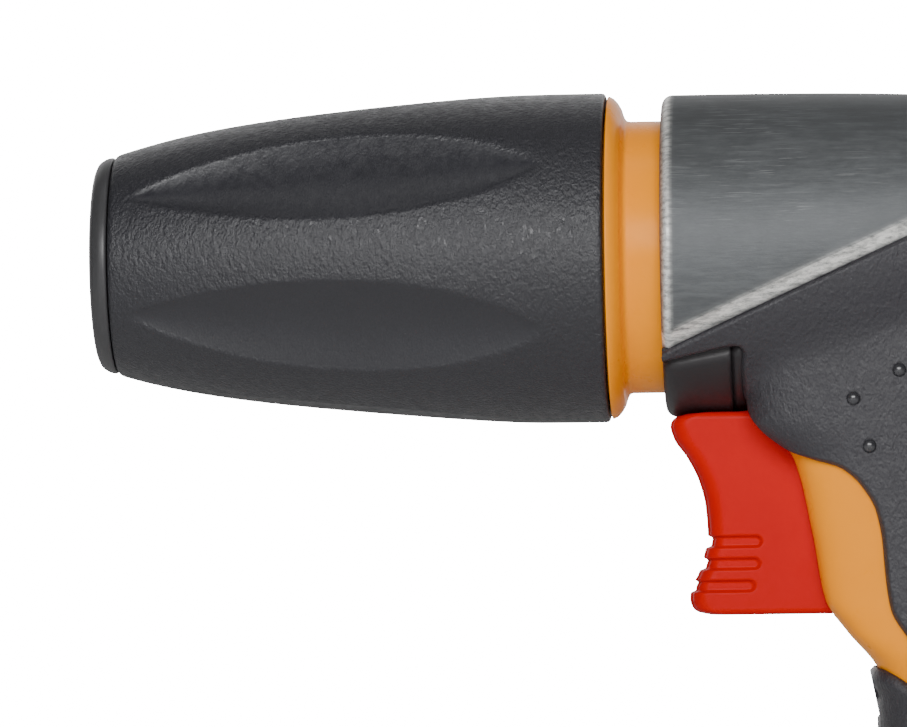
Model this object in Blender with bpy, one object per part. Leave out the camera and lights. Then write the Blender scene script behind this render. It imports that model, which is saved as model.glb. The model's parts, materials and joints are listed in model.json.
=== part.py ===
"""Hose spray nozzle: a pistol-shaped gun with a twist nozzle, a pull trigger and a sliding tube valve.

The gun is laid out in its own frame, in millimetres: the nozzle's axis is the X axis, the nozzle points
to -X, the handle hangs down -Z, and x = 0 is the rear edge of the rubber nozzle grip. MM turns those
millimetres into metres, and the empty gun_origin carries everything to the centre of the gun's box.
Water comes in at the foot of the handle, rises through the riser pipe into the valve chamber, enters the
rear end of the shuttle tube when the trigger pulls that tube forwards off its washer, and leaves through
the barrel, past the jet pin, and out of the spray tip, whose distance from the pin sets mist or jet.
"""

import math

import bmesh
import bpy
from mathutils import Matrix, Vector

MM = 0.001
GAP = 0.3

# The gun's box in the layout frame: its centre becomes the origin.
CENTRE = Vector((7.7, 0.0, -56.9))

# Twist nozzle
NOZZLE_LENGTH = 73.8
GRIP_REAR_R = 24.7
GRIP_FRONT_R = 16.6
GRIP_SWELL = 2.75
GRIP_WALL = 3.2
BEZEL_FRONT = -76.9
NECK_R = 20.4
NECK_END = 13.4
SCALLOPS = 6
SCALLOP_TURN = 33.0
SCALLOP_X = -40.0
THREAD_PITCH = 6.0

# Body and handle: (x, top, bottom, half width) along the nozzle's axis
BODY_FRONT = 8.4
BODY_R = 24.1
BODY_STATIONS = [
    (20.0, 24.1, -24.1, 24.1),
    (32.0, 24.0, -22.0, 23.9),
    (44.0, 23.7, -19.0, 23.2),
    (55.0, 22.9, -16.5, 21.6),
    (65.0, 21.2, -15.0, 19.4),
    (74.0, 18.6, -13.0, 16.6),
    (82.0, 15.2, -10.5, 13.2),
    (88.0, 11.2, -7.0, 9.3),
    (92.0, 6.5, -2.0, 4.8),
]
TAIL_START = 60.0
TAIL_END = BODY_STATIONS[-1][0]
# (z, front, back, half width, squareness) down the handle
HANDLE_STATIONS = [
    (-7.0, 20.3, 66.0, 17.5, 5.0),
    (-14.0, 20.2, 69.5, 19.0, 5.0),
    (-24.5, 20.3, 70.6, 18.5, 4.5),
    (-31.0, 26.0, 71.2, 18.0, 3.4),
    (-42.0, 28.6, 72.6, 17.2, 3.0),
    (-52.0, 31.0, 74.4, 16.6, 2.8),
    (-57.0, 34.8, 75.4, 16.4, 2.7),
    (-63.0, 38.6, 76.6, 16.2, 2.6),
    (-72.0, 39.3, 78.2, 16.0, 2.6),
    (-86.0, 41.6, 79.6, 15.9, 2.6),
    (-97.0, 43.6, 80.8, 16.2, 2.7),
    (-114.0, 44.6, 84.0, 17.2, 2.8),
]
PIPE_LEAN = math.radians(8.0)
PIPE_TOP_X = 47.3
HANDLE_FOOT = 107.0

# Layers of the casing, as offsets from the outer form
SHROUD_OUT = 0.6
COVER_OUT = 0.3
SKIN_IN = -0.9
SHELL_OUT = -1.2
SHELL_IN = -3.4
SHELL_FRONT = 20.9
COLLAR_END = 18.6
# Lower edge of the metal shroud, seen from the side: its start, its slope, and its bend to the rear
SHROUD_EDGE = [(0.0, -18.6), (8.4, -14.75), (45.0, 2.1), (62.0, 9.6), (76.0, 14.6), (100.0, 20.0)]
# Lower edge of the strip of rubber that runs forwards under the shroud
STRIP_EDGE = [(0.0, -18.0), (20.5, -14.2)]
# Front edge of the rubber cover, then the point of the bare leaf below it and the edge of the lower grip
COVER_EDGE = [
    (20.2, -14.2),
    (20.0, -17.0),
    (20.45, -23.6),
    (22.1, -26.3),
    (24.75, -28.6),
    (27.4, -30.2),
    (33.8, -32.0),
    (36.1, -33.5),
    (37.9, -35.6),
    (39.4, -38.3),
    (40.4, -42.5),
    (40.8, -48.6),
    (41.6, -53.4),
    (43.9, -57.4),
    (52.0, -69.5),
    (47.5, -66.4),
    (43.8, -64.7),
    (38.4, -62.2),
    (28.0, -60.0),
]
# Front edge of the shell's cheeks beside the trigger
CHEEK_EDGE = [(21.0, -23.0), (22.7, -25.8), (25.3, -28.0), (27.6, -29.7), (32.9, -53.6), (32.9, -54.7)]

# Trigger and valve
PIN = (27.0, -18.5)
TRIGGER_HALF = 8.5
SLOT_HALF = 8.9
LEVER = 18.5
TRIGGER_PULL = math.radians(13.0)
ARM_IN, ARM_OUT = 9.7, 12.3
COLLAR_MID = PIN[0] + LEVER * math.sin(TRIGGER_PULL / 2)
CHAMBER_FRONT, CHAMBER_END = 36.5, 66.0

# Screws through the right shell into the left one, as (x, z)
SHELL_SCREWS = [(38.0, -18.0), (64.5, -33.0), (46.1, -70.0), (73.8, -92.0), (75.5, 4.0)]
SCREW_SEAT = 8.0
# Screws up into the shroud's posts, as (x, z of the shell's inner face)
SHROUD_SCREWS = [(36.0, 20.5), (54.0, 19.5)]

BROAD, MEDIUM, FINE = 24, 18, 12


def clear_scene():
    for obj in list(bpy.data.objects):
        bpy.data.objects.remove(obj, do_unlink=True)


def material(name, colour, roughness, metallic=0.0):
    made = bpy.data.materials.new(name)
    made.use_nodes = True
    shader = made.node_tree.nodes["Principled BSDF"]
    shader.inputs["Base Color"].default_value = (*colour, 1.0)
    shader.inputs["Roughness"].default_value = roughness
    shader.inputs["Metallic"].default_value = metallic
    return made


def finish(bm, name):
    """Turns a bmesh in millimetres into an object in metres, its faces pointing outwards."""
    bmesh.ops.remove_doubles(bm, verts=bm.verts, dist=1e-4)
    bmesh.ops.recalc_face_normals(bm, faces=bm.faces)
    if bm.calc_volume(signed=True) < 0:
        bmesh.ops.reverse_faces(bm, faces=bm.faces)
    bmesh.ops.scale(bm, vec=(MM, MM, MM), verts=bm.verts)
    mesh = bpy.data.meshes.new(name)
    bm.to_mesh(mesh)
    bm.free()
    obj = bpy.data.objects.new(name, mesh)
    bpy.context.scene.collection.objects.link(obj)
    return obj


def turned(name, profile, steps=BROAD):
    """A solid of revolution about the X axis. The profile is its (x, radius) section, closed round."""
    bm = bmesh.new()
    points = [bm.verts.new((x, 0.0, r)) for x, r in profile]
    edges = [
        bm.edges.new(pair)
        for pair in zip(points, points[1:] + points[:1])
        if pair[0].co.z > 0 or pair[1].co.z > 0
    ]
    bmesh.ops.spin(
        bm, geom=points + edges, cent=(0, 0, 0), axis=(1, 0, 0), angle=math.tau, steps=steps
    )
    return finish(bm, name)


def loft(name, rings):
    """A closed solid through rings that have equal numbers of points."""
    bm = bmesh.new()
    loops = [[bm.verts.new(p) for p in ring] for ring in rings]
    for a, b in zip(loops, loops[1:]):
        for i in range(len(a)):
            j = (i + 1) % len(a)
            bm.faces.new((a[i], a[j], b[j], b[i]))
    bmesh.ops.connect_verts_nonplanar(bm, angle_limit=1e-5, faces=bm.faces)
    bm.faces.new(loops[0])
    bm.faces.new(loops[-1])
    return finish(bm, name)


def prism(name, outline, low, high):
    """A slab whose (x, z) outline is seen from the side and whose y runs from low to high."""
    return loft(name, [[(x, y, z) for x, z in outline] for y in (low, high)])


def rod(name, x, z, low, high, radius, steps=FINE):
    """A cylinder along Y at (x, z)."""
    ring = [
        (x + radius * math.cos(math.tau * i / steps), z + radius * math.sin(math.tau * i / steps))
        for i in range(steps)
    ]
    return prism(name, ring, low, high)


def ring_section(middle, radius, count=6):
    """The round section of an O-ring, as (x, radius) points about middle."""
    return [
        (
            middle[0] + radius * math.cos(math.tau * i / count),
            middle[1] + radius * math.sin(math.tau * i / count),
        )
        for i in range(count)
    ]


def o_ring(name, x, mean, radius, steps=MEDIUM):
    return turned(name, ring_section((x, mean), radius), steps)


def bake(obj):
    """Replaces the object's mesh by what its modifiers make of it."""
    graph = bpy.context.evaluated_depsgraph_get()
    mesh = bpy.data.meshes.new_from_object(obj.evaluated_get(graph))
    obj.modifiers.clear()
    obj.data = mesh


def carve(obj, tool, operation="DIFFERENCE", keep=False):
    """Cuts the tool from the object, or joins or intersects the two. The tool goes unless it is kept."""
    modifier = obj.modifiers.new("carve", "BOOLEAN")
    modifier.operation = operation
    modifier.object = tool
    bake(obj)
    if not keep:
        bpy.data.objects.remove(tool, do_unlink=True)
    return obj


def copy_of(obj, name):
    made = obj.copy()
    made.data = obj.data.copy()
    made.name = name
    bpy.context.scene.collection.objects.link(made)
    return made


def along_pipe(obj):
    """Turns a piece made about the X axis so that it lies on the riser's axis, its +X pointing down."""
    turn = Matrix.Rotation(math.pi / 2 - PIPE_LEAN, 4, "Y")
    move = Matrix.Translation(Vector((PIPE_TOP_X, 0, 0)) * MM)
    obj.data.transform(move @ turn)
    return obj


def grip_radius(x):
    """The nozzle grip's outer radius, which swells from front to rear as a power of the distance."""
    share = min(1.0, max(0.0, -x / NOZZLE_LENGTH))
    return GRIP_REAR_R - (GRIP_REAR_R - GRIP_FRONT_R) * share**GRIP_SWELL


def oval(centre, half, squareness, steps):
    """Points of a superellipse with the given centre and half sizes."""
    points = []
    for i in range(steps):
        c, s = math.cos(math.tau * i / steps), math.sin(math.tau * i / steps)
        points.append(
            (
                centre[0] + half[0] * math.copysign(abs(c) ** (2 / squareness), c),
                centre[1] + half[1] * math.copysign(abs(s) ** (2 / squareness), s),
            )
        )
    return points


def body_form(name, offset, front=BODY_FRONT, steps=24):
    """The round barrel-shaped part of the body, grown by offset, starting at front."""
    stations = [(front, BODY_R, -BODY_R, BODY_R)] + BODY_STATIONS
    rings = []
    for x, top, bottom, width in stations:
        tail = max(0.0, (x - TAIL_START) / (TAIL_END - TAIL_START))
        ring = oval((0, (top + bottom) / 2), (width + offset, (top - bottom) / 2 + offset), 2.0, steps)
        rings.append([(x + offset * tail, y, z) for y, z in ring])
    return loft(name, rings)


def handle_form(name, offset, steps=20):
    """The handle, grown by offset, from inside the body to below the foot."""
    rings = []
    for z, front, back, width, squareness in HANDLE_STATIONS:
        centre = ((front + back) / 2, 0)
        ring = oval(centre, ((back - front) / 2 + offset, width + offset), squareness, steps)
        rings.append([(x, y, z) for x, y in ring])
    return loft(name, rings)


def outer_form(name, offset, front=BODY_FRONT, coarse=1.0):
    """Body and handle together, grown by offset. A coarse factor below 1 gives fewer facets."""
    body = body_form(name, offset, front, int(24 * coarse))
    return carve(body, handle_form("handle_tool", offset, int(20 * coarse)), "UNION")


def below_foot(name, reach):
    """A block that removes everything further down the riser's axis than reach."""
    return along_pipe(turned(name, [(reach, 0), (reach, 60), (reach + 40, 60), (reach + 40, 0)], 4))


def above_line(name, line, drop=0.0):
    """A block of everything above a line drawn from the side, lowered by drop."""
    outline = [(x, z - drop) for x, z in line]
    return prism(name, outline + [(outline[-1][0], 40), (outline[0][0], 40)], -40, 40)


def half_space(name, side, gap=GAP / 2):
    """A block on one side of the middle plane: side is -1 for the left and 1 for the right."""
    low, high = sorted((side * gap, side * 40))
    return prism(name, [(-20, -150), (120, -150), (120, 60), (-20, 60)], low, high)


def helix_rib(name, start, turns, inner, outer, root, tip):
    """A rib of trapezoid section that climbs a right-handed helix about the X axis."""
    rings = []
    for i in range(int(turns * MEDIUM) + 1):
        turn = i / MEDIUM
        angle, x = math.tau * turn, start + THREAD_PITCH * turn
        section = [(-root / 2, inner), (root / 2, inner), (tip / 2, outer), (-tip / 2, outer)]
        rings.append([(x + dx, r * math.cos(angle), r * math.sin(angle)) for dx, r in section])
    return loft(name, rings)


# Twist nozzle ------------------------------------------------------------------------------------


def nozzle_grip():
    """Rubber grip: a swelling tube with six long hollows for the fingers."""
    stops = [-NOZZLE_LENGTH, -71.5, -62.0, -50.0, -38.0, -26.0, -14.0, 0.0]
    outside = [(x, grip_radius(x)) for x in stops]
    outside[0] = (-NOZZLE_LENGTH, GRIP_FRONT_R - 0.5)
    inside = [(x, grip_radius(x) - GRIP_WALL) for x in reversed(stops)]
    grip = turned("nozzle_grip", outside + inside)
    for i in range(SCALLOPS):
        angle = math.radians(SCALLOP_TURN + i * 360 / SCALLOPS)
        carve(grip, scallop_tool(angle))
    return grip


def scallop_tool(angle):
    """A slender spindle that lies along the grip and dips 2 mm into it."""
    rings = []
    reach, depth, half_width = 34.0, 9.0, 12.0
    lift = grip_radius(SCALLOP_X) + 6.8
    for i in range(9):
        t = -0.98 + 1.96 * i / 8
        size = math.sqrt(1 - t * t)
        tilt = 2.6 * t
        section = oval((0, 0), (half_width * size, depth * size), 2.0, 12)
        rings.append([(SCALLOP_X + reach * t, y, lift + tilt + z) for y, z in section])
    tool = loft("scallop", rings)
    tool.data.transform(Matrix.Rotation(angle - math.pi / 2, 4, "X"))
    return tool


def nozzle_bezel():
    """Hard ring that closes the front of the nozzle, with a rounded outer edge."""
    back, outer = -NOZZLE_LENGTH - GAP, GRIP_FRONT_R - 0.9
    edge = 1.8
    round_edge = [
        (
            BEZEL_FRONT + edge - edge * math.cos(math.radians(a)),
            outer - edge + edge * math.sin(math.radians(a)),
        )
        for a in (0, 30, 60, 90)
    ]
    bore = [(back, 9.7), (BEZEL_FRONT + 0.8, 9.7), (BEZEL_FRONT, 10.6)]
    return turned("nozzle_bezel", bore + round_edge + [(back, outer)])


def nozzle_sleeve():
    """Hard sleeve under the grip: rear flange, neck, female thread, O-ring groove and tip socket."""
    wall = GRIP_WALL + GAP
    outside = [(x, grip_radius(x) - wall) for x in (-73.5, -62.0, -50.0, -38.0, -26.0, -14.0)]
    flange = [
        (GAP, 21.2), (GAP, 24.3), (1.2, 23.7), (2.1, 22.7), (2.5, 21.6), (2.5, NECK_R),
        (NECK_END, NECK_R),
    ]
    inside = [
        (NECK_END, 18.8),
        (0.0, 18.0),
        (-2.0, 16.2),
        (-29.0, 16.2),
        (-33.5, 12.6),
        (-43.6, 12.6),
        (-43.6, 14.4),
        (-46.4, 14.4),
        (-46.4, 12.6),
        (-62.0, 12.6),
        (-67.5, 9.5),
        (-73.5, 9.5),
    ]
    sleeve = turned("nozzle_sleeve", outside + flange + inside)
    rib = helix_rib("female_rib", -22.0, 2.0, 16.7, 14.7, 2.6, 1.5)
    return carve(sleeve, rib, "UNION")


def spray_tip():
    """Brass insert with the outlet hole and its flared mouth."""
    return turned(
        "spray_tip",
        [(-75.4, 9.0), (-75.4, 8.0), (-74.6, 6.8), (-72.4, 3.3), (-69.5, 3.3), (-68.0, 5.2), (-68.0, 9.0)],
        MEDIUM,
    )


def nozzle_o_ring():
    return o_ring("nozzle_o_ring", -45.0, 13.2, 0.85)


# Fixed core --------------------------------------------------------------------------------------


def barrel():
    """Fixed tube inside the nozzle: rear flange, male thread, and a narrow rear bore for the shuttle."""
    outside = [
        (-58.0, 11.4), (-57.3, 12.1), (-27.0, 12.1), (-25.0, 13.9), (18.9, 13.9), (18.9, 22.0),
        (20.6, 22.0), (20.6, 10.5), (21.3, 10.5),
    ]
    inside = [
        (21.3, 5.6), (15.4, 5.6), (15.4, 7.4), (12.8, 7.4), (12.8, 5.6), (2.0, 5.6), (-2.0, 9.0),
        (-50.5, 9.0), (-50.5, 10.2), (-58.0, 10.2),
    ]
    made = turned("barrel", outside + inside, MEDIUM)
    rib = helix_rib("male_rib", -19.0, 2.0, 13.4, 15.7, 2.6, 1.5)
    return carve(made, rib, "UNION")


def jet_pin():
    """Pointed core in the barrel's mouth, on a disc with six water holes."""
    pin = turned(
        "jet_pin",
        [
            (-50.8, 0), (-50.8, 9.8), (-54.0, 9.8), (-54.0, 4.2), (-59.0, 4.2), (-62.5, 2.1),
            (-66.0, 2.1), (-67.0, 1.0), (-67.0, 0),
        ],
        MEDIUM,
    )
    for i in range(6):
        hole = turned("hole", [(-56, 0), (-56, 1.7), (-49, 1.7), (-49, 0)], 8)
        angle = math.tau * i / 6
        hole.data.transform(Matrix.Translation(Vector((0, math.cos(angle), math.sin(angle))) * 7.0 * MM))
        carve(pin, hole)
    return pin


def shuttle_front_o_ring():
    return o_ring("shuttle_front_o_ring", 14.1, 6.35, 0.9, FINE)


def shuttle_tube():
    """Sliding tube: the trigger's pegs sit between its two collars. Its rear lip shuts on the washer."""
    a, b = COLLAR_MID - 2.0, COLLAR_MID + 2.0
    outside = [
        (8.0, 5.2), (a - 1.2, 5.2), (a - 1.2, 9.0), (a, 9.0), (a, 6.2), (b, 6.2), (b, 9.0),
        (b + 1.2, 9.0), (b + 1.2, 5.2), (54.5, 5.2), (54.5, 7.6), (56.0, 7.6), (57.4, 4.6),
    ]
    return turned("shuttle_tube", outside + [(57.4, 3.6), (8.0, 3.6)], MEDIUM)


def return_spring():
    """Coil spring between the chamber's front wall and the shuttle's head."""
    turns, wire, mean = 5.0, 0.55, 7.0
    start, end = 42.0 + GAP + wire, 54.5 - GAP - wire
    steps = int(turns * FINE)
    rings = []
    for i in range(steps + 1):
        angle = math.tau * turns * i / steps
        x = start + (end - start) * i / steps
        rings.append(
            [
                (
                    x + wire * math.cos(math.tau * k / 5),
                    (mean + wire * math.sin(math.tau * k / 5)) * math.cos(angle),
                    (mean + wire * math.sin(math.tau * k / 5)) * math.sin(angle),
                )
                for k in range(5)
            ]
        )
    return loft("return_spring", rings)


def valve_chamber():
    """Chamber with a gland at the front, an open rear end and a leaning stub for the riser."""
    chamber = turned(
        "valve_chamber",
        [
            (CHAMBER_FRONT, 7.5), (CHAMBER_FRONT, 12.5), (CHAMBER_END, 12.5), (CHAMBER_END, 10.0),
            (42.0, 10.0), (42.0, 5.6), (39.2, 5.6), (39.2, 7.5),
        ],
        MEDIUM,
    )
    stub = along_pipe(turned("stub", [(8.0, 0), (8.0, 7.2), (21.0, 7.2), (21.0, 0)], MEDIUM))
    hollow = turned("hollow", [(42.5, 0), (42.5, 9.99), (65.5, 9.99), (65.5, 0)], MEDIUM)
    carve(stub, hollow)
    carve(chamber, stub, "UNION")
    port = along_pipe(turned("port", [
        (4.0, 0), (4.0, 4.0), (14.0, 4.0), (14.0, 5.9), (22.0, 5.9), (22.0, 0),
    ], MEDIUM))
    return carve(chamber, port)


def gland_nut():
    return turned("gland_nut", [(34.3, 5.7), (34.3, 10.4), (36.2, 10.4), (36.2, 5.7)], MEDIUM)


def seat_cap():
    """Plug in the chamber's rear end, with a cup that holds the washer."""
    return turned(
        "seat_cap",
        [
            (58.4, 8.2), (58.4, 9.6), (61.0, 9.6), (61.0, 8.7), (63.0, 8.7), (63.0, 9.6),
            (66.3, 9.6), (66.3, 12.5), (68.2, 12.5), (68.2, 0), (60.6, 0), (60.6, 8.2),
        ],
        MEDIUM,
    )


def seat_washer():
    return turned("seat_washer", [(57.6, 0), (57.6, 7.8), (60.3, 7.8), (60.3, 0)], MEDIUM)


def riser_pipe():
    """Straight water pipe in the handle, with an O-ring groove near each end."""
    outside = [
        (14.4, 5.5), (16.5, 5.5), (16.5, 4.8), (18.3, 4.8), (18.3, 5.5), (94.7, 5.5), (94.7, 4.8),
        (96.5, 4.8), (96.5, 5.5), (98.6, 5.5),
    ]
    return along_pipe(turned("riser_pipe", outside + [(98.6, 3.9), (14.4, 3.9)], FINE))


def inlet_spigot():
    """Hose inlet: socket for the riser, captive flange, and the stepped male end for a hose connector."""
    outside = [
        (92.5, 8.2), (100.0, 8.2), (100.0, 12.0), (103.0, 12.0), (103.0, 9.2), (113.2, 9.2),
        (113.2, 11.0), (116.2, 11.0), (116.2, 8.6), (120.8, 8.6), (121.6, 7.4), (125.2, 7.4),
        (126.0, 8.6), (130.4, 8.6), (132.2, 6.8), (133.4, 6.8), (133.4, 5.5), (136.0, 5.5),
        (136.0, 6.8), (138.2, 6.8), (139.0, 6.1),
    ]
    inside = [(139.0, 4.6), (99.0, 4.6), (99.0, 5.9), (92.5, 5.9)]
    return along_pipe(turned("inlet_spigot", outside + inside, MEDIUM))


def inlet_filter():
    """Disc strainer with seven holes, pressed up inside the inlet's mouth."""
    disc = turned("inlet_filter", [(128.0, 0), (128.0, 4.3), (129.2, 4.3), (129.2, 0)], FINE)
    for i in range(7):
        hole = turned("hole", [(127, 0), (127, 0.75), (130, 0.75), (130, 0)], 6)
        if i:
            angle = math.tau * i / 6
            offset = Vector((0, math.cos(angle), math.sin(angle))) * 2.7 * MM
            hole.data.transform(Matrix.Translation(offset))
        carve(disc, hole)
    return along_pipe(disc)


def base_ring():
    """Ribbed collar nut below the handle, round the inlet's neck."""
    ring = turned("base_ring", [
        (107.3, 9.6), (107.3, 14.2), (108.2, 15.0), (111.6, 15.0), (112.9, 13.4), (112.9, 9.6),
    ], MEDIUM)
    return along_pipe(ring)


# Casing ------------------------------------------------------------------------------------------


def front_collar():
    """Ring that carries the barrel's front bearing. Its lower part shows as the chin above the trigger."""
    profile = [
        (BODY_FRONT + 0.2, 20.9), (BODY_FRONT, 21.4), (BODY_FRONT, BODY_R - 1.4),
        (BODY_FRONT + 0.5, BODY_R - 0.4), (BODY_FRONT + 1.5, BODY_R), (COLLAR_END, BODY_R),
        (COLLAR_END, 20.9),
    ]
    collar = turned("front_collar", profile)
    return carve(collar, skin_room("relief", STRIP_EDGE, GAP))


def skin_room(name, line, drop):
    """The room above a line for the skin that lies over the shells and the collar."""
    room = body_form(name, 6.0, front=0.0)
    carve(room, body_form("core", SHELL_OUT, front=-5.0))
    return carve(room, above_line("above", line, drop), "INTERSECT")


def top_shroud():
    """Metal cover over the top of the body, with two posts that its screws pull down on."""
    shroud = carve(body_form("top_shroud", SHROUD_OUT), above_line("above", SHROUD_EDGE), "INTERSECT")
    carve(shroud, body_form("core", SKIN_IN, front=0.0))
    for x, face in SHROUD_SCREWS:
        low, high, floor = face + GAP, face + 3.1, face + 2.4
        post = [(low, 1.5), (low, 2.3), (high, 2.3), (high, 0), (floor, 0), (floor, 1.5)]
        carve(shroud, upright("post", x, post), "UNION")
    return shroud


def upright(name, x, profile):
    """A solid of revolution about the vertical line at x. Its profile gives (z, radius)."""
    made = turned(name, profile, 12)
    made.data.transform(Matrix.Translation(Vector((x, 0, 0)) * MM) @ Matrix.Rotation(-math.pi / 2, 4, "Y"))
    return made


def rib_plate(name, tool, bore):
    """A stiffening plate with a bore, which the cavity leaves standing in the shells."""
    return carve(tool, bore)


def shell_cavity():
    """The hollow inside the two shells: the outer form less the bosses and ribs that stand in it."""
    cavity = outer_form("cavity", SHELL_IN, front=0.0, coarse=0.67)
    carve(cavity, below_foot("foot", 96.5))
    for x, z in SHELL_SCREWS:
        carve(cavity, rod("boss", x, z, -40, 40, 4.2, 8))
    for side in (-1, 1):
        low, high = sorted((side * 12.8, side * 30))
        carve(cavity, rod("pin_boss", PIN[0], PIN[1], low, high, 3.6, 12))
    for x in (41.0, 61.0):
        plate = prism("plate", [(x, -12), (x + 2, -12), (x + 2, 30), (x, 30)], -30, 30)
        bore = turned("bore", [(x - 2, 0), (x - 2, 12.8), (x + 4, 12.8), (x + 4, 0)], MEDIUM)
        carve(cavity, rib_plate("rib", plate, bore))
    plate = prism("plate", [(42, -60), (80, -60), (80, -62), (42, -62)], -30, 30)
    bore = along_pipe(turned("bore", [(50, 0), (50, 5.8), (75, 5.8), (75, 0)], MEDIUM))
    carve(cavity, rib_plate("rib", plate, bore))
    return cavity


def trigger_slot():
    """The slot in the front of the handle that the trigger sinks into."""
    outline = [(10, -10), (33.5, -10), (33.5, -24), (40, -28), (46, -54.7), (10, -54.7)]
    return prism("slot", outline, -SLOT_HALF, SLOT_HALF)


def shells():
    """The two casing halves with their screw bosses, ribs, pin sockets, trigger slot and foot."""
    whole = carve(outer_form("whole", SHELL_OUT), shell_cavity())
    front = [(-20, 60), (SHELL_FRONT, 60)] + CHEEK_EDGE + [(-20, CHEEK_EDGE[-1][1])]
    spigot_room = [
        (94, 0), (94, 8.5), (99.7, 8.5), (99.7, 12.3), (103.3, 12.3), (103.3, 9.5), (110, 9.5),
        (110, 0),
    ]
    halves = []
    for name, side in (("shell_left", -1), ("shell_right", 1)):
        half = copy_of(whole, name)
        carve(half, half_space("side", side), "INTERSECT")
        carve(half, below_foot("foot", HANDLE_FOOT))
        carve(half, prism("front", front, -60, 60))
        carve(half, trigger_slot())
        carve(half, along_pipe(turned("spigot_room", spigot_room, MEDIUM)))
        carve(half, turned("chamber_room", [(58.5, 0), (58.5, 12.9), (68.8, 12.9), (68.8, 0)], MEDIUM))
        carve(half, rod("hub_room", PIN[0], PIN[1], -12.6, 12.6, 4.0))
        arm_room = [(21.3, -17.2), (27.1, -17.2), (27.1, -9.5), (21.3, -9.5)]
        carve(half, prism("arm_room", arm_room, -12.65, 12.65))
        carve(half, rod("pin_hole", PIN[0], PIN[1], -15.4, 15.4, 1.8, 12))
        for x, face in SHROUD_SCREWS:
            carve(half, upright("hole", x, [
                (face - 1, 0), (face - 1, 2.6), (face + 8, 2.6), (face + 8, 0),
            ]))
        for x, z in SHELL_SCREWS:
            if side < 0:
                carve(half, rod("pilot", x, z, -9.5, 1, 1.8, 6))
            else:
                carve(half, rod("shank_hole", x, z, -1, SCREW_SEAT + 1, 1.8, 6))
                carve(half, rod("head_hole", x, z, SCREW_SEAT, 30, 3.0, 8))
        halves.append(half)
    bpy.data.objects.remove(whole, do_unlink=True)
    return halves


def grip_covers():
    """Soft rubber covers over the shells, open over the leaf-shaped bare patch and round each screw."""
    whole = carve(outer_form("whole", COVER_OUT), outer_form("core", SKIN_IN, front=0.0))
    lower_front = [(-20, STRIP_EDGE[0][1] - 3.7)] + COVER_EDGE + [(-20, COVER_EDGE[-1][1])]
    covers = []
    for name, side in (("grip_cover_left", -1), ("grip_cover_right", 1)):
        half = copy_of(whole, name)
        carve(half, half_space("side", side), "INTERSECT")
        carve(half, above_line("above", SHROUD_EDGE, GAP))
        carve(half, prism("leaf", lower_front, -60, 60))
        carve(half, trigger_slot())
        carve(half, below_foot("foot", HANDLE_FOOT))
        if side > 0:
            for x, z in SHELL_SCREWS:
                carve(half, rod("access", x, z, 4, 40, 3.4, 8))
        covers.append(half)
    bpy.data.objects.remove(whole, do_unlink=True)
    return covers


# Trigger -----------------------------------------------------------------------------------------


def trigger():
    """Finger lever: a hollow shell with three grip grooves, a hub on the pin, and a fork with two pegs."""
    front = [
        (12.0, -23.3),
        (10.2, -23.9),
        (9.4, -25.4),
        (10.0, -27.4),
        (11.9, -30.2),
        (13.6, -33.7),
        (14.5, -37.3),
        (14.8, -41.6),
        (14.2, -44.8),
        (13.3, -47.6),
        (12.2, -49.6),
        (12.0, -51.4),
        (12.7, -53.0),
        (14.4, -53.7),
    ]
    rear = [(34.9, -53.7), (31.2, -33.0), (31.0, -23.3)]
    body = prism("trigger", front + rear, -TRIGGER_HALF, TRIGGER_HALF)
    edges = body.modifiers.new("edges", "BEVEL")
    edges.width = 1.2 * MM
    edges.segments = 2
    edges.limit_method = "ANGLE"
    edges.angle_limit = math.radians(60)
    bake(body)
    hollow = [(14.5, -26.5), (17.0, -33.0), (17.6, -41.5), (15.4, -51.4), (40.0, -51.4), (36.0, -26.5)]
    carve(body, prism("hollow", hollow, 2.2 - TRIGGER_HALF, TRIGGER_HALF - 2.2))
    for middle in (-42.8, -46.1, -49.4):
        carve(body, groove_tool(middle))
    hub = rod("hub", PIN[0], PIN[1], -ARM_OUT, ARM_OUT, 3.6)
    neck_line = [(22.6, -18.5), (31.2, -18.5), (31.0, -25.5), (22.0, -25.5)]
    neck = prism("neck", neck_line, 0.4 - TRIGGER_HALF, TRIGGER_HALF - 0.4)
    carve(body, carve(hub, neck, "UNION"), "UNION")
    for side in (-1, 1):
        low, high = sorted((side * ARM_IN, side * (ARM_OUT - 0.05)))
        arm = [
            (PIN[0] - 2.4, PIN[1] + 1), (PIN[0] + 3.6, PIN[1] + 1), (COLLAR_MID + 3.0, 0.5),
            (COLLAR_MID + 1.6, 3.0), (COLLAR_MID - 1.6, 3.0), (COLLAR_MID - 3.0, 0.5),
        ]
        carve(body, prism("arm", arm, low, high), "UNION")
        low, high = sorted((side * 6.7, side * (ARM_OUT - 0.4)))
        carve(body, rod("peg", COLLAR_MID, 0.0, low, high, 1.6, 12), "UNION")
    carve(body, turned("saddle", [(0, 0), (0, BODY_R + 0.6), (20.2, BODY_R + 0.6), (20.2, 0)]))
    carve(body, rod("pin_bore", PIN[0], PIN[1], -20, 20, 1.8, 12))
    return body


def groove_tool(middle):
    """A shallow belt that runs round the trigger's front and both sides at one height."""
    outline = [
        (0, middle - 0.9), (21.4, middle - 0.9), (22.3, middle), (21.4, middle + 0.9),
        (0, middle + 0.9),
    ]
    belt = prism("belt", outline, -20, 20)
    core_front = 15.3 if middle > -45 else 14.7 if middle > -48 else 13.1
    core = [(core_front, middle - 3), (40, middle - 3), (40, middle + 3), (core_front, middle + 3)]
    return carve(belt, prism("core", core, 0.5 - TRIGGER_HALF, TRIGGER_HALF - 0.5))


def trigger_pin():
    return rod("trigger_pin", PIN[0], PIN[1], -15.0, 15.0, 1.5, 12)


# Fasteners ---------------------------------------------------------------------------------------


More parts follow.
